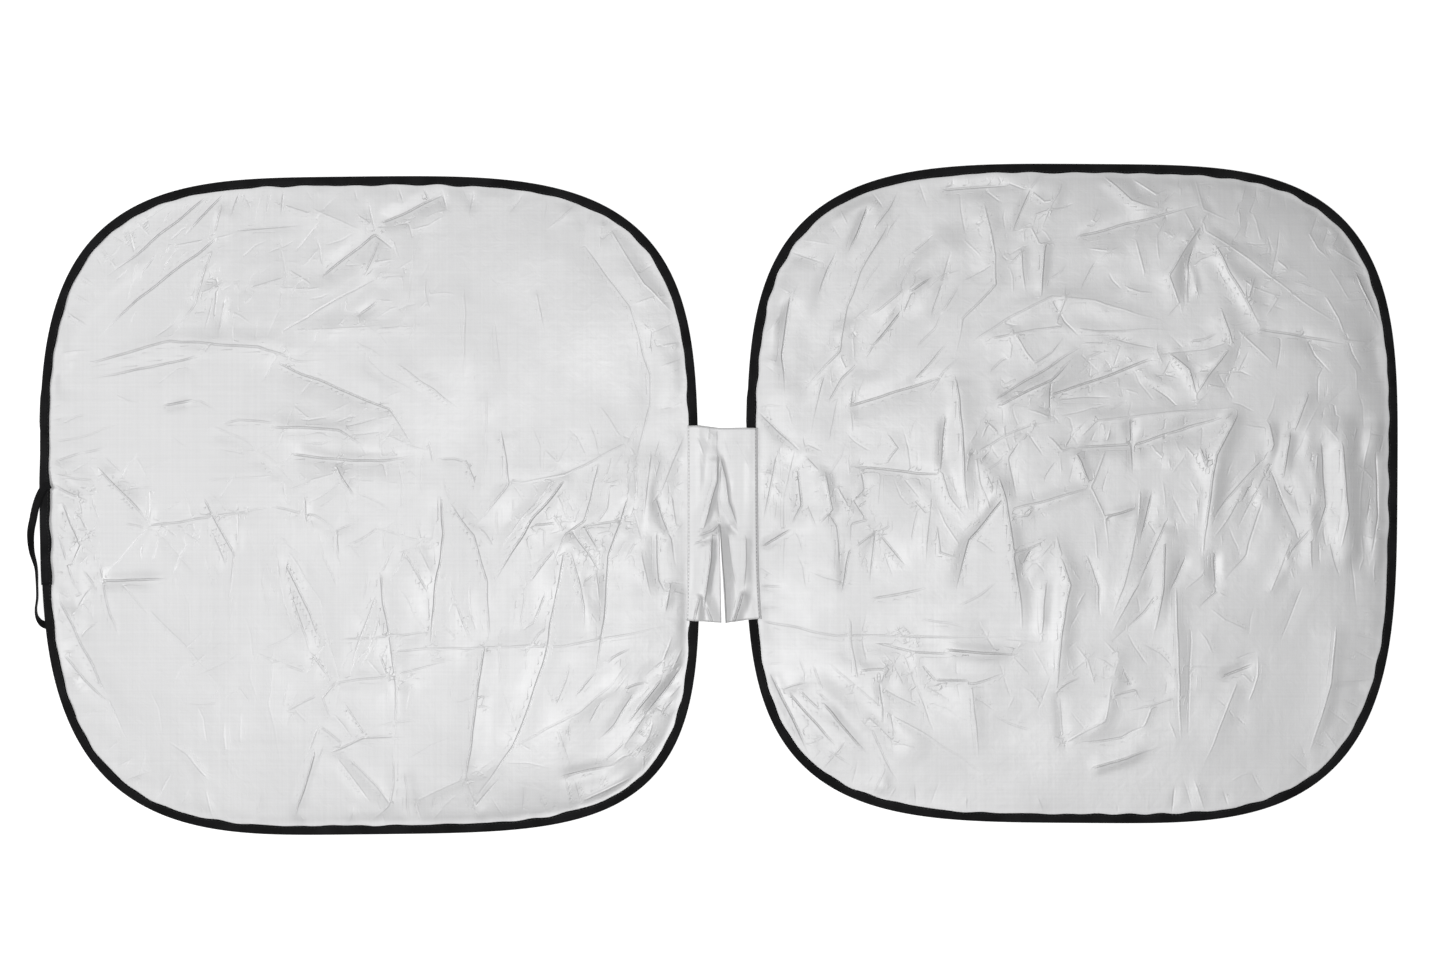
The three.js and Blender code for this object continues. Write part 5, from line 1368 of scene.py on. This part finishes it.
def panel_cloth(name, rim, creases, fine_creases, patches, swells, slopes):
    """One creased panel, held flat at its edge by the tape and at the bridge."""
    settings = bpy.context.scene.shade_cloth
    hoop = rim.hoop
    rng = np.random.default_rng(PANEL_SEEDS[hoop.side])
    count = int(round((hoop.reach_left + hoop.reach_right) / settings.step))
    x, y, angle, outline, radius, inset = superellipse_grid(hoop, count)

    cloth = CreasedCloth(x, y, rng)
    for rise, *line in creases:
        points = hoop.places(line)
        cloth.add(rise * MM, crease_width(points), points)
    for rise, *line in fine_creases:
        points = hoop.places(line)
        cloth.add(rise * MM, 0.6 * crease_width(points), points, small=True, crest=1.5)
    for patch in patches:
        cloth.scatter(patch, hoop.middle_x, hoop.middle_y)
    rim_gathers(cloth, rim, rng)
    folds = cloth.height()
    for rise, width, *line in swells:
        distance, *_ = line_distance(x, y, hoop.places(line))
        folds = folds + rise * MM * (1 - smooth_step(0, width * MM, distance))
    for rise, size in CLOTH_WAVES:
        folds = folds + rise * MM * value_noise(x, y, size * MM, rng)

    # Height of the smooth panel: level with the rim at its edge, and crowned towards its middle
    edge = rim.height(rim.along_at_angle(angle))
    share = np.minimum(1, radius / (outline - TAPE_WIDTH - HEM_WIDTH))
    rest = edge * share**4 + TAPE_HALF_HEIGHT * (1 - share**4) + settings.crown * (1 - share**3)
    for direction, rise in slopes:
        toward = np.clip(np.cos(angle - math.radians(direction)), 0, 1) ** SLOPE_NARROWNESS
        rest = rest + rise * MM * toward * share**2 * (1 - share**8)
    flattened = smooth_step(TAPE_WIDTH, TAPE_WIDTH + RIM_FLATTENS_OVER, inset)
    fade = flattened * (1 - bridge_hold(hoop, angle, y, inset))
    z = rest + (off_floor(rest + blurred(folds), 0.7 * MM) - rest) * fade

    index = np.arange((count + 1) ** 2).reshape(count + 1, count + 1)
    corners = [index[:-1, :-1], index[:-1, 1:], index[1:, 1:], index[1:, :-1]]
    quads = np.stack(corners, axis=2).reshape(-1, 4)
    points = np.stack([x.ravel(), y.ravel(), z.ravel()], axis=1)
    attributes = {
        "crease_side": cloth.crest_side.ravel(),
        "crease_rise": (cloth.crest_rise * fade).ravel(),
    }
    return cloth_piece(name, points, quads, settings.thickness, silver_cloth(), attributes)


def panel_area(hoop):
    """Flat area inside the hoop's edge."""
    angles = 2 * math.pi * np.arange(RIM_POINTS) / RIM_POINTS
    radius = hoop.radius(angles) - CLOTH_EDGE_INSET / hoop.slant(angles)
    return float((radius**2).sum() * math.pi / RIM_POINTS)


class SHADE_OT_panels(bpy.types.Operator):
    """Lay the creased silver cloth of both panels"""

    bl_idname = "sunshade.panels"
    bl_label = "Panel Cloths"

    def execute(self, context):
        parts = [
            (LEFT_RIM, LEFT_CREASES, LEFT_FINE_CREASES, LEFT_PATCHES, LEFT_SWELLS, LEFT_SLOPES),
            (RIGHT_RIM, RIGHT_CREASES, RIGHT_FINE_CREASES, RIGHT_PATCHES, RIGHT_SWELLS, RIGHT_SLOPES),
        ]
        for rim, *folds in parts:
            hoop = rim.hoop
            piece = panel_cloth(f"{hoop.side}_creased_cloth", rim, *folds)
            on_body(piece, [f"{hoop.side}_panel_cloth"])
            panel_area(hoop)
        return {"FINISHED"}


def tape_half(rim, along):
    """Half height of the wire's space in the folded tape, more over the sleeve."""
    middle = rim.length - SLEEVE_FROM_TAPE_START
    half = SLEEVE_LENGTH / 2
    rise = np.clip((along - (middle - half - SLEEVE_TAPER)) / SLEEVE_TAPER, 0, 1)
    fall = np.clip((middle + half + SLEEVE_TAPER - along) / SLEEVE_TAPER, 0, 1)
    return CAVITY_HALF + (SLEEVE_CAVITY_HALF - CAVITY_HALF) * np.minimum(rise, fall)


def tape_growth(rim, along):
    """How far the tape lies outside its own first layer, where it laps over it."""
    ramp_end = rim.length - TAPE_RAMP_CLEAR
    return LAP_GROWTH * np.clip((along - ramp_end + TAPE_RAMP) / TAPE_RAMP, 0, 1)


def ripples(turn, rng, count, slowest, fastest):
    """Sum of sines that close on themselves round the rim."""
    total = np.zeros(np.shape(turn))
    for _ in range(count):
        total = total + np.sin(int(rng.integers(slowest, fastest)) * turn + rng.uniform(0, 2 * math.pi))
    return total


def tape_wander(rim, along):
    """Uneven width of the tape: long waves and short puckers, the same on both layers of the lap."""
    settings = bpy.context.scene.shade_tape
    rng = np.random.default_rng(TAPE_SEEDS[rim.hoop.side])
    x, y = rim.place(along, 0)
    above = smooth_step(BRIDGE_BOTTOM - BRIDGE_CALMS_TAPE, BRIDGE_BOTTOM, y)
    below = 1 - smooth_step(BRIDGE_TOP, BRIDGE_TOP + BRIDGE_CALMS_TAPE, y)
    beside = np.where(np.sign(x - rim.hoop.middle_x) == rim.hoop.facing, above * below, 0)
    turn = 2 * math.pi * np.mod(along, rim.length) / rim.length
    waves = ripples(turn, rng, 9, 9, 80) / 3
    puckers = ripples(turn, rng, 3, 150, 230) / 2
    return settings.wave * waves * (1 - beside), settings.pucker * puckers * (1 - beside)


def tape_section(half, growth, wander, lift):
    """Corners of the folded tape's section: inset from the outer edge, and height from the wire's middle."""
    tip = WIRE_INSET - half
    spread = TAPE_LAP_SPREAD * growth
    lip = TAPE_WIDTH + wander
    nose = TAPE_NOSE_HALF + TAPE_NOSE_GROWTH * growth
    inner = [
        (lip, MOUTH_HALF + growth + lift),
        (TAPE_ROOT_INSET + spread, half + growth),
        (TAPE_FOLD_INSET - spread, half + growth),
        (tip - growth, nose),
    ]
    outer = [
        (lip, MOUTH_HALF + growth + lift + TAPE_THICKNESS),
        (TAPE_ROOT_INSET + spread + TAPE_BULGE, half + growth + TAPE_THICKNESS),
        (TAPE_FOLD_INSET - spread - TAPE_BULGE, half + growth + TAPE_THICKNESS),
        (tip - growth - TAPE_THICKNESS, nose + TAPE_NOSE_WALL),
    ]
    outer_below = [(inset, -height) for inset, height in reversed(outer)]
    inner_below = [(inset, -height) for inset, height in inner]
    return outer + outer_below + inner_below + inner[::-1]


def corners_cut(loop):
    """One pass of corner cutting round a closed section."""
    after = np.roll(loop, -1, axis=0)
    pairs = np.stack([0.75 * loop + 0.25 * after, 0.25 * loop + 0.75 * after], axis=1)
    return pairs.reshape(-1, *loop.shape[1:])


def binding_tape(name, rim):
    """Tape folded over the wire and the cloth's edge, lapped over its own start."""
    settings = bpy.context.scene.shade_tape
    steps = int(round((rim.length + TAPE_LAP) / settings.step))
    along = np.linspace(0, rim.length + TAPE_LAP, steps + 1)
    growth = tape_growth(rim, along)
    wander, pucker = tape_wander(rim, along)
    if rim.hoop.side == "left":
        wander = wander + TAPE_LAP_SHOWS * growth
    section = tape_section(tape_half(rim, along), growth, wander, np.abs(pucker) * TAPE_PUCKER_LIFT)
    loop = np.array([[np.broadcast_to(value, along.shape) for value in corner] for corner in section])
    rounded = corners_cut(loop.transpose(0, 2, 1))
    inset, height = rounded[:, :, 0].T, rounded[:, :, 1].T
    edge = rim.height(along)[:, None]
    long = np.broadcast_to(along[:, None], inset.shape)
    x, y = rim.place(long, inset)
    uvs = np.stack([long, inset], axis=2)
    material = black_webbing("black_woven_tape", settings, 450)
    return swept_piece(name, np.stack([x, y, edge + height], axis=2), material, uvs)


class SHADE_OT_bindings(bpy.types.Operator):
    """Fold the black tape round both hoops"""

    bl_idname = "sunshade.bindings"
    bl_label = "Bindings"

    def execute(self, context):
        for rim in (LEFT_RIM, RIGHT_RIM):
            side = rim.hoop.side
            piece = binding_tape(f"{side}_folded_tape", rim)
            on_body(piece, [f"{side}_binding"])
        return {"FINISHED"}


def bridge_row(rim, share, middle_x, columns):
    """One row of one half of the bridge, from its sewn edge over the tape to its middle.

    Gives its points, and how far ridges rise and furrows sink at each of them.
    """
    settings = bpy.context.scene.shade_bridge
    left = rim.hoop.side == "left"
    top = BRIDGE_TOP_LEFT if left else BRIDGE_TOP_RIGHT
    bottom = BRIDGE_BOTTOM_LEFT if left else BRIDGE_BOTTOM_RIGHT
    y = top + (bottom - top) * share + ORIGIN_Y
    along = rim.along_at_height(y, left)
    growth = 0 if left else LAP_GROWTH
    edge = float(rim.height(along))
    gap = CLEARANCE + CLOTH_THICKNESS / 2 + BRIDGE_OVER_PUCKERS
    over_lip = edge + MOUTH_HALF + TAPE_THICKNESS + growth + gap
    over_wire = edge + TAPE_HALF_HEIGHT + growth + gap
    outermost = -growth - BRIDGE_PAST_RIM
    shift = BRIDGE_EDGE_OVER_LAP * growth
    seam = settings.seam_inset + settings.seam_spread * share + shift
    turn = seam - BRIDGE_EDGE_TURN - shift
    key_insets = [seam, turn, TAPE_WIDTH - BRIDGE_LIP_CLEAR, WIRE_INSET + BRIDGE_WIRE_CLEAR, outermost]
    key_heights = [edge + BRIDGE_EDGE_HEIGHT, over_lip - BRIDGE_EDGE_SAG, over_lip, over_wire, over_wire]
    over_tape = np.linspace(turn, outermost, BRIDGE_TAPE_COLUMNS)
    insets = np.concatenate([[seam, seam - BRIDGE_EDGE_STEP], over_tape])
    heights = np.interp(-insets, [-inset for inset in key_insets], key_heights)
    x, row_y = rim.place(np.full(insets.shape, along), insets)
    last = np.array([x[-1], row_y[-1], heights[-1]])
    middle_y = BRIDGE_TOP_MIDDLE + (BRIDGE_BOTTOM_MIDDLE - BRIDGE_TOP_MIDDLE) * share + ORIGIN_Y
    part = np.linspace(0, 1, columns + 1)[1:]
    inner = np.stack(
        [
            last[0] + (middle_x - last[0]) * part,
            last[1] + (middle_y - last[1]) * part,
            last[2] + (settings.rest - last[2]) * np.sin(part * math.pi / 2),
        ],
        axis=1,
    )
    row = np.concatenate([np.stack([x, row_y, heights], axis=1), inner])
    sinks = np.concatenate([np.zeros(insets.shape), smooth_step(0, BRIDGE_SINKS_WITHIN, part)])
    held = BRIDGE_HELD_RISE * (1 - smooth_step(outermost, seam - 2 * MM, insets))
    rises = np.concatenate([held, BRIDGE_HELD_RISE + (1 - BRIDGE_HELD_RISE) * part])
    return row, rises, sinks


def bridge_half(rim, shares, creases):
    """Points of one half of the bridge, with its creases, and the crests beside each point."""
    settings = bpy.context.scene.shade_bridge
    lip_reach = settings.slit_left
    if rim.hoop.side == "right":
        lip_reach += settings.slit_width
    rows = []
    for share in shares:
        open_share = max(0.0, (share - SLIT_SHARE) / (1 - SLIT_SHARE))
        rows.append(bridge_row(rim, share, ORIGIN_X + open_share * lip_reach, BRIDGE_FREE_COLUMNS))
    points, rises, sinks = (np.array(values) for values in zip(*rows))
    rng = np.random.default_rng(BRIDGE_SEEDS[rim.hoop.side])
    cloth = CreasedCloth(points[:, :, 0], points[:, :, 1], rng)
    for rise, width, lean, *line in creases:
        places = [(px * MM + ORIGIN_X, py * MM + ORIGIN_Y) for px, py in line]
        cloth.add(rise * MM, width * MM, places, sharpness=1.2, lean=lean)
    for _ in range(BRIDGE_SMALL_CREASES):
        start = (ORIGIN_X + rng.uniform(-26, 30) * MM, ORIGIN_Y + rng.uniform(-128, 66) * MM)
        lean = rng.normal(math.pi / 2, 0.5)
        end = moved(start, rng.uniform(10, 32) * MM, lean)
        rise = rng.uniform(0.2, 0.6) * rng.choice([-1, 1]) * MM
        cloth.add(rise, 6 * MM, [start, end], small=True)
    height = cloth.height()
    raised = points[:, :, 2] + np.maximum(height, 0) * rises + np.minimum(height, 0) * sinks
    points[:, :, 2] = np.where(sinks > 0, off_floor(raised, 0.6 * MM), raised)
    return points, cloth.crest_side, cloth.crest_rise * rises


def bridge_piece(name):
    """Both halves joined above the slit, in one ply."""
    settings = bpy.context.scene.shade_bridge
    cloth = bpy.context.scene.shade_cloth
    shares = np.linspace(0, 1, settings.rows + 1)
    joined = int(round(SLIT_SHARE * settings.rows))
    shares[joined] = SLIT_SHARE
    left, left_side, left_rise = bridge_half(LEFT_RIM, shares, LEFT_BRIDGE_CREASES)
    right, right_side, right_rise = bridge_half(RIGHT_RIM, shares, RIGHT_BRIDGE_CREASES)
    middle = (left[: joined + 1, -1] + right[: joined + 1, -1]) / 2
    left[: joined + 1, -1] = middle
    right[: joined + 1, -1] = middle
    rows, columns = left.shape[:2]
    left_index = np.arange(rows * columns).reshape(rows, columns)
    right_index = left_index + rows * columns
    right_index[: joined + 1, -1] = left_index[: joined + 1, -1]
    quads = []
    for index, turned in ((left_index, False), (right_index, True)):
        corners = [index[:-1, :-1], index[1:, :-1], index[1:, 1:], index[:-1, 1:]]
        quads.append(np.stack(corners[::-1] if turned else corners, axis=2).reshape(-1, 4))
    quads = np.concatenate(quads)
    points = np.concatenate([left.reshape(-1, 3), right.reshape(-1, 3)])
    side = np.concatenate([left_side.ravel(), right_side.ravel()])
    rise = np.concatenate([left_rise.ravel(), right_rise.ravel()])
    used, again = np.unique(quads, return_inverse=True)
    quads = again.reshape(quads.shape)
    attributes = {"crease_side": side[used], "crease_rise": rise[used]}
    return cloth_piece(name, points[used], quads, cloth.thickness, silver_cloth(), attributes)


class SHADE_OT_bridge(bpy.types.Operator):
    """Sew the slit bridge cloth over both bindings"""

    bl_idname = "sunshade.bridge"
    bl_label = "Bridge Cloth"

    def execute(self, context):
        piece = bridge_piece("slit_bridge_cloth")
        on_body(piece, ["bridge_cloth"])
        return {"FINISHED"}


def centripetal_point(controls, share):
    """A point on the centripetal Catmull-Rom curve through the controls."""
    last = len(controls) - 1
    at = share * last
    low = min(int(at), last - 1)
    t = at - low
    p1, p2 = controls[low], controls[low + 1]
    p0 = controls[low - 1] if low > 0 else 2 * p1 - p2
    p3 = controls[low + 2] if low + 2 <= last else 2 * p2 - p1
    d0, d1, d2 = (np.linalg.norm(b - a) ** 0.5 for a, b in ((p0, p1), (p1, p2), (p2, p3)))
    m1 = (p1 - p0) / d0 - (p2 - p0) / (d0 + d1) + (p2 - p1) / d1
    m2 = (p2 - p1) / d1 - (p3 - p1) / (d1 + d2) + (p3 - p2) / d2
    m1, m2 = m1 * d1, m2 * d1
    return (
        p1
        + m1 * t
        + (-3 * p1 + 3 * p2 - 2 * m1 - m2) * t**2
        + (2 * p1 - 2 * p2 + m1 + m2) * t**3
    )


def strap_piece(name):
    """Elastic loop: flat where it is sewn to the lap, upright where it stands off the tape."""
    settings = bpy.context.scene.shade_strap
    rim = LEFT_RIM
    controls, turns = [], []
    for out, y, roll, lift in STRAP_ROUTE:
        height = y * MM + ORIGIN_Y
        along = rim.along_at_height(height, False)
        edge_x, _ = rim.place(along, 0)
        tape_top = float(rim.height(along)) + TAPE_HALF_HEIGHT + LAP_GROWTH + CLEARANCE
        controls.append(np.array([float(edge_x) - out * MM, height, tape_top if lift is None else lift * MM]))
        turns.append(math.radians(roll))
    half_width = settings.width / 2
    half_thickness = settings.thickness / 2
    # Section of the elastic, as shares of its half width and half thickness
    outline = [(1, 0.35), (0.96, 1), (0.5, 1), (0, 1), (-0.5, 1), (-0.96, 1), (-1, 0.35)]
    outline += [(w, -t) for w, t in reversed(outline)]
    shares = np.linspace(0, 1, settings.steps + 1)
    path = np.array([centripetal_point(controls, share) for share in shares])
    ahead = np.gradient(path, axis=0)
    ahead[:, 2] = 0
    ahead /= np.linalg.norm(ahead, axis=1)[:, None]
    turn = np.interp(shares * (len(controls) - 1), np.arange(len(controls)), turns)
    path[:, 2] = np.maximum(0, path[:, 2]) + half_width * np.sin(turn) + half_thickness * np.cos(turn)
    wide = np.stack([np.cos(turn) * ahead[:, 1], -np.cos(turn) * ahead[:, 0], np.sin(turn)], axis=1)
    thick = np.cross(wide, ahead)
    sections = np.stack(
        [path + wide * (w * half_width) + thick * (t * half_thickness) for w, t in outline], axis=1
    )
    lengths = np.concatenate([[0], np.cumsum(np.linalg.norm(np.diff(path, axis=0), axis=1))])
    widths = np.array([w * half_width for w, t in outline])
    uvs = np.stack(np.broadcast_arrays(lengths[:, None], widths), axis=2)
    return swept_piece(name, sections, black_webbing("black_braided_elastic", settings, 550), uvs)


class SHADE_OT_closing_loop(bpy.types.Operator):
    """Make the elastic loop that holds the folded shade together"""

    bl_idname = "sunshade.closing_loop"
    bl_label = "Closing Loop"

    def execute(self, context):
        piece = strap_piece("elastic_closing_loop")
        on_body(piece, ["closing_strap"])
        return {"FINISHED"}


def stitch_nodes():
    """Node group that sets separate stitches along every edge of a line."""
    name = "Stitches along a line"
    if name in bpy.data.node_groups:
        return bpy.data.node_groups[name]
    inputs = {
        "Geometry": "Geometry",
        "Pitch": "Float",
        "Length": "Float",
        "Radius": "Float",
        "Material": "Material",
    }
    tree, start, end = new_group(name, "GeometryNodeTree", inputs, {"Geometry": "Geometry"})
    given = start.outputs
    line = add_node(tree, "GeometryNodeMeshToCurve", {"Mesh": given["Geometry"]})
    spacing = {"Curve": line.outputs["Curve"], "Length": given["Pitch"]}
    places = add_node(tree, "GeometryNodeCurveToPoints", spacing, mode="LENGTH")
    ahead = {"Vector": places.outputs["Tangent"]}
    turned = add_node(tree, "FunctionNodeAlignRotationToVector", ahead, axis="X")
    half_size = {"X": given["Length"], "Y": given["Radius"], "Z": given["Radius"]}
    size = add_node(tree, "ShaderNodeCombineXYZ", half_size)
    bead = add_node(tree, "GeometryNodeMeshUVSphere", {"Segments": 6, "Rings": 4, "Radius": 1.0})
    lying = {"Geometry": bead.outputs["Mesh"], "Rotation": (0, math.pi / 2, 0)}
    stitch = add_node(tree, "GeometryNodeTransform", lying)
    setting_down = {
        "Points": places.outputs["Points"],
        "Instance": stitch.outputs["Geometry"],
        "Rotation": turned.outputs["Rotation"],
        "Scale": size.outputs[0],
    }
    row = add_node(tree, "GeometryNodeInstanceOnPoints", setting_down)
    real = add_node(tree, "GeometryNodeRealizeInstances", {"Geometry": row.outputs["Instances"]})
    smooth = add_node(tree, "GeometryNodeSetShadeSmooth", {"Geometry": real.outputs["Geometry"]})
    thread = {"Geometry": smooth.outputs["Geometry"], "Material": given["Material"]}
    sewn = add_node(tree, "GeometryNodeSetMaterial", thread)
    feed(tree, end, {"Geometry": sewn.outputs["Geometry"]})
    return tree


def stitches(name, lines):
    """Stitches along lines of points, as one piece."""
    settings = bpy.context.scene.shade_thread
    points, edges = [], []
    for line in lines:
        first = len(points)
        points.extend(map(tuple, line))
        edges.extend((k, k + 1) for k in range(first, len(points) - 1))
    mesh = bpy.data.meshes.new(name + "_line")
    mesh.from_pydata(points, edges, [])
    guide = new_object(name + "_line", mesh)
    modifier = guide.modifiers.new("stitches", "NODES")
    modifier.node_group = stitch_nodes()
    values = {
        "Pitch": settings.pitch,
        "Length": settings.stitch / 2,
        "Radius": settings.radius,
        "Material": sewing_thread(),
    }
    for socket in modifier.node_group.interface.items_tree:
        if socket.in_out == "INPUT" and socket.name in values:
            modifier[socket.identifier] = values[socket.name]
    guide.update_tag()
    evaluated = guide.evaluated_get(bpy.context.evaluated_depsgraph_get())
    result = bpy.data.meshes.new_from_object(evaluated)
    result.name = name
    bpy.data.objects.remove(guide)
    bpy.data.meshes.remove(mesh)
    if not result.polygons:
        raise RuntimeError(f"{name}: no stitches were made")
    return new_object(name, result)


def tape_seam(rim, sign):
    """Line of the seam along the tape's inner edge, on its upper face (sign 1) or its lower one (-1)."""
    steps = int(round(rim.length / SEAM_STEP))
    along = np.linspace(TAPE_LAP, rim.length + TAPE_LAP, steps + 1)
    growth = tape_growth(rim, along)
    wander, pucker = tape_wander(rim, along)
    lip = TAPE_WIDTH + wander
    share = SEAM_FROM_LIP / (lip - TAPE_ROOT_INSET)
    lip_height = MOUTH_HALF + np.abs(pucker) * TAPE_PUCKER_LIFT
    height = lip_height + (tape_half(rim, along) - lip_height) * share + growth + TAPE_THICKNESS
    x, y = rim.place(along, lip - SEAM_FROM_LIP)
    return np.stack([x, y, rim.height(along) + sign * height], axis=1)


def bridge_seam(rim):
    """Line of the seam that holds one side of the bridge."""
    line = []
    for share in np.linspace(0.01, 0.99, 60):
        row, _, _ = bridge_row(rim, share, ORIGIN_X, 2)
        on_edge = row[2] * (1 - BRIDGE_SEAM_SHARE) + row[3] * BRIDGE_SEAM_SHARE
        line.append(on_edge + np.array([0, 0, CLOTH_THICKNESS / 2]))
    return np.array(line)


class SHADE_OT_seams(bpy.types.Operator):
    """Stitch the tapes and the bridge with thread"""

    bl_idname = "sunshade.seams"
    bl_label = "Seams"

    def execute(self, context):
        for rim in (LEFT_RIM, RIGHT_RIM):
            piece = stitches(f"{rim.hoop.side}_tape_stitches", [tape_seam(rim, 1), tape_seam(rim, -1)])
            on_body(piece)
        piece = stitches("bridge_stitches", [bridge_seam(LEFT_RIM), bridge_seam(RIGHT_RIM)])
        on_body(piece)
        return {"FINISHED"}


class SHADE_OT_hoops(bpy.types.Operator):
    """Give the wires and sleeves inside the tape their steel"""

    bl_idname = "sunshade.hoops"
    bl_label = "Hoop Wires and Sleeves"

    def execute(self, context):
        spring = steel("drawn_spring_steel", (0.42, 0.43, 0.45), 0.34, 160.0)
        plated = steel("plated_crimp_steel", (0.58, 0.59, 0.60), 0.4, 320.0)
        for side in ("left", "right"):
            for node, material in ((f"{side}_hoop_wire", spring), (f"{side}_hoop_sleeve", plated)):
                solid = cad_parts[node]
                solid.data.materials.clear()
                solid.data.materials.append(material)
        return {"FINISHED"}


class SHADE_PT_panel(bpy.types.Panel):
    """Lists the steps, each with its sizes and colours"""

    bl_label = "Windscreen Shade"
    bl_idname = "SHADE_PT_panel"
    bl_space_type = "VIEW_3D"
    bl_region_type = "UI"
    bl_category = "Windscreen shade"

    def draw(self, context):
        for operator, settings in STEPS:
            self.layout.operator(operator.bl_idname)
            if settings:
                group = getattr(context.scene, settings)
                for key in group.bl_rna.properties.keys():
                    if key not in ("rna_type", "name"):
                        self.layout.prop(group, key)


STEPS = [
    (SHADE_OT_stage, "shade_stage"),
    (SHADE_OT_hoops, None),
    (SHADE_OT_panels, "shade_cloth"),
    (SHADE_OT_bindings, "shade_tape"),
    (SHADE_OT_bridge, "shade_bridge"),
    (SHADE_OT_closing_loop, "shade_strap"),
    (SHADE_OT_seams, "shade_thread"),
]
GROUPS = {
    "shade_cloth": ShadeCloth,
    "shade_tape": ShadeTape,
    "shade_bridge": ShadeBridge,
    "shade_strap": ShadeStrap,
    "shade_thread": ShadeThread,
    "shade_stage": ShadeStage,
}


def register():
    for name, group in GROUPS.items():
        bpy.utils.register_class(group)
        setattr(bpy.types.Scene, name, PointerProperty(type=group))
    for operator, _ in STEPS:
        bpy.utils.register_class(operator)
    bpy.utils.register_class(SHADE_PT_panel)


def unregister():
    bpy.utils.unregister_class(SHADE_PT_panel)
    for operator, _ in reversed(STEPS):
        bpy.utils.unregister_class(operator)
    for name, group in GROUPS.items():
        delattr(bpy.types.Scene, name)
        bpy.utils.unregister_class(group)


def main():
    """Builds the shade."""
    register()
    bpy.ops.sunshade.stage()
    bpy.ops.sunshade.hoops()
    bpy.ops.sunshade.panels()
    bpy.ops.sunshade.bindings()
    bpy.ops.sunshade.bridge()
    bpy.ops.sunshade.closing_loop()
    bpy.ops.sunshade.seams()


if __name__ == "__main__":
    main()
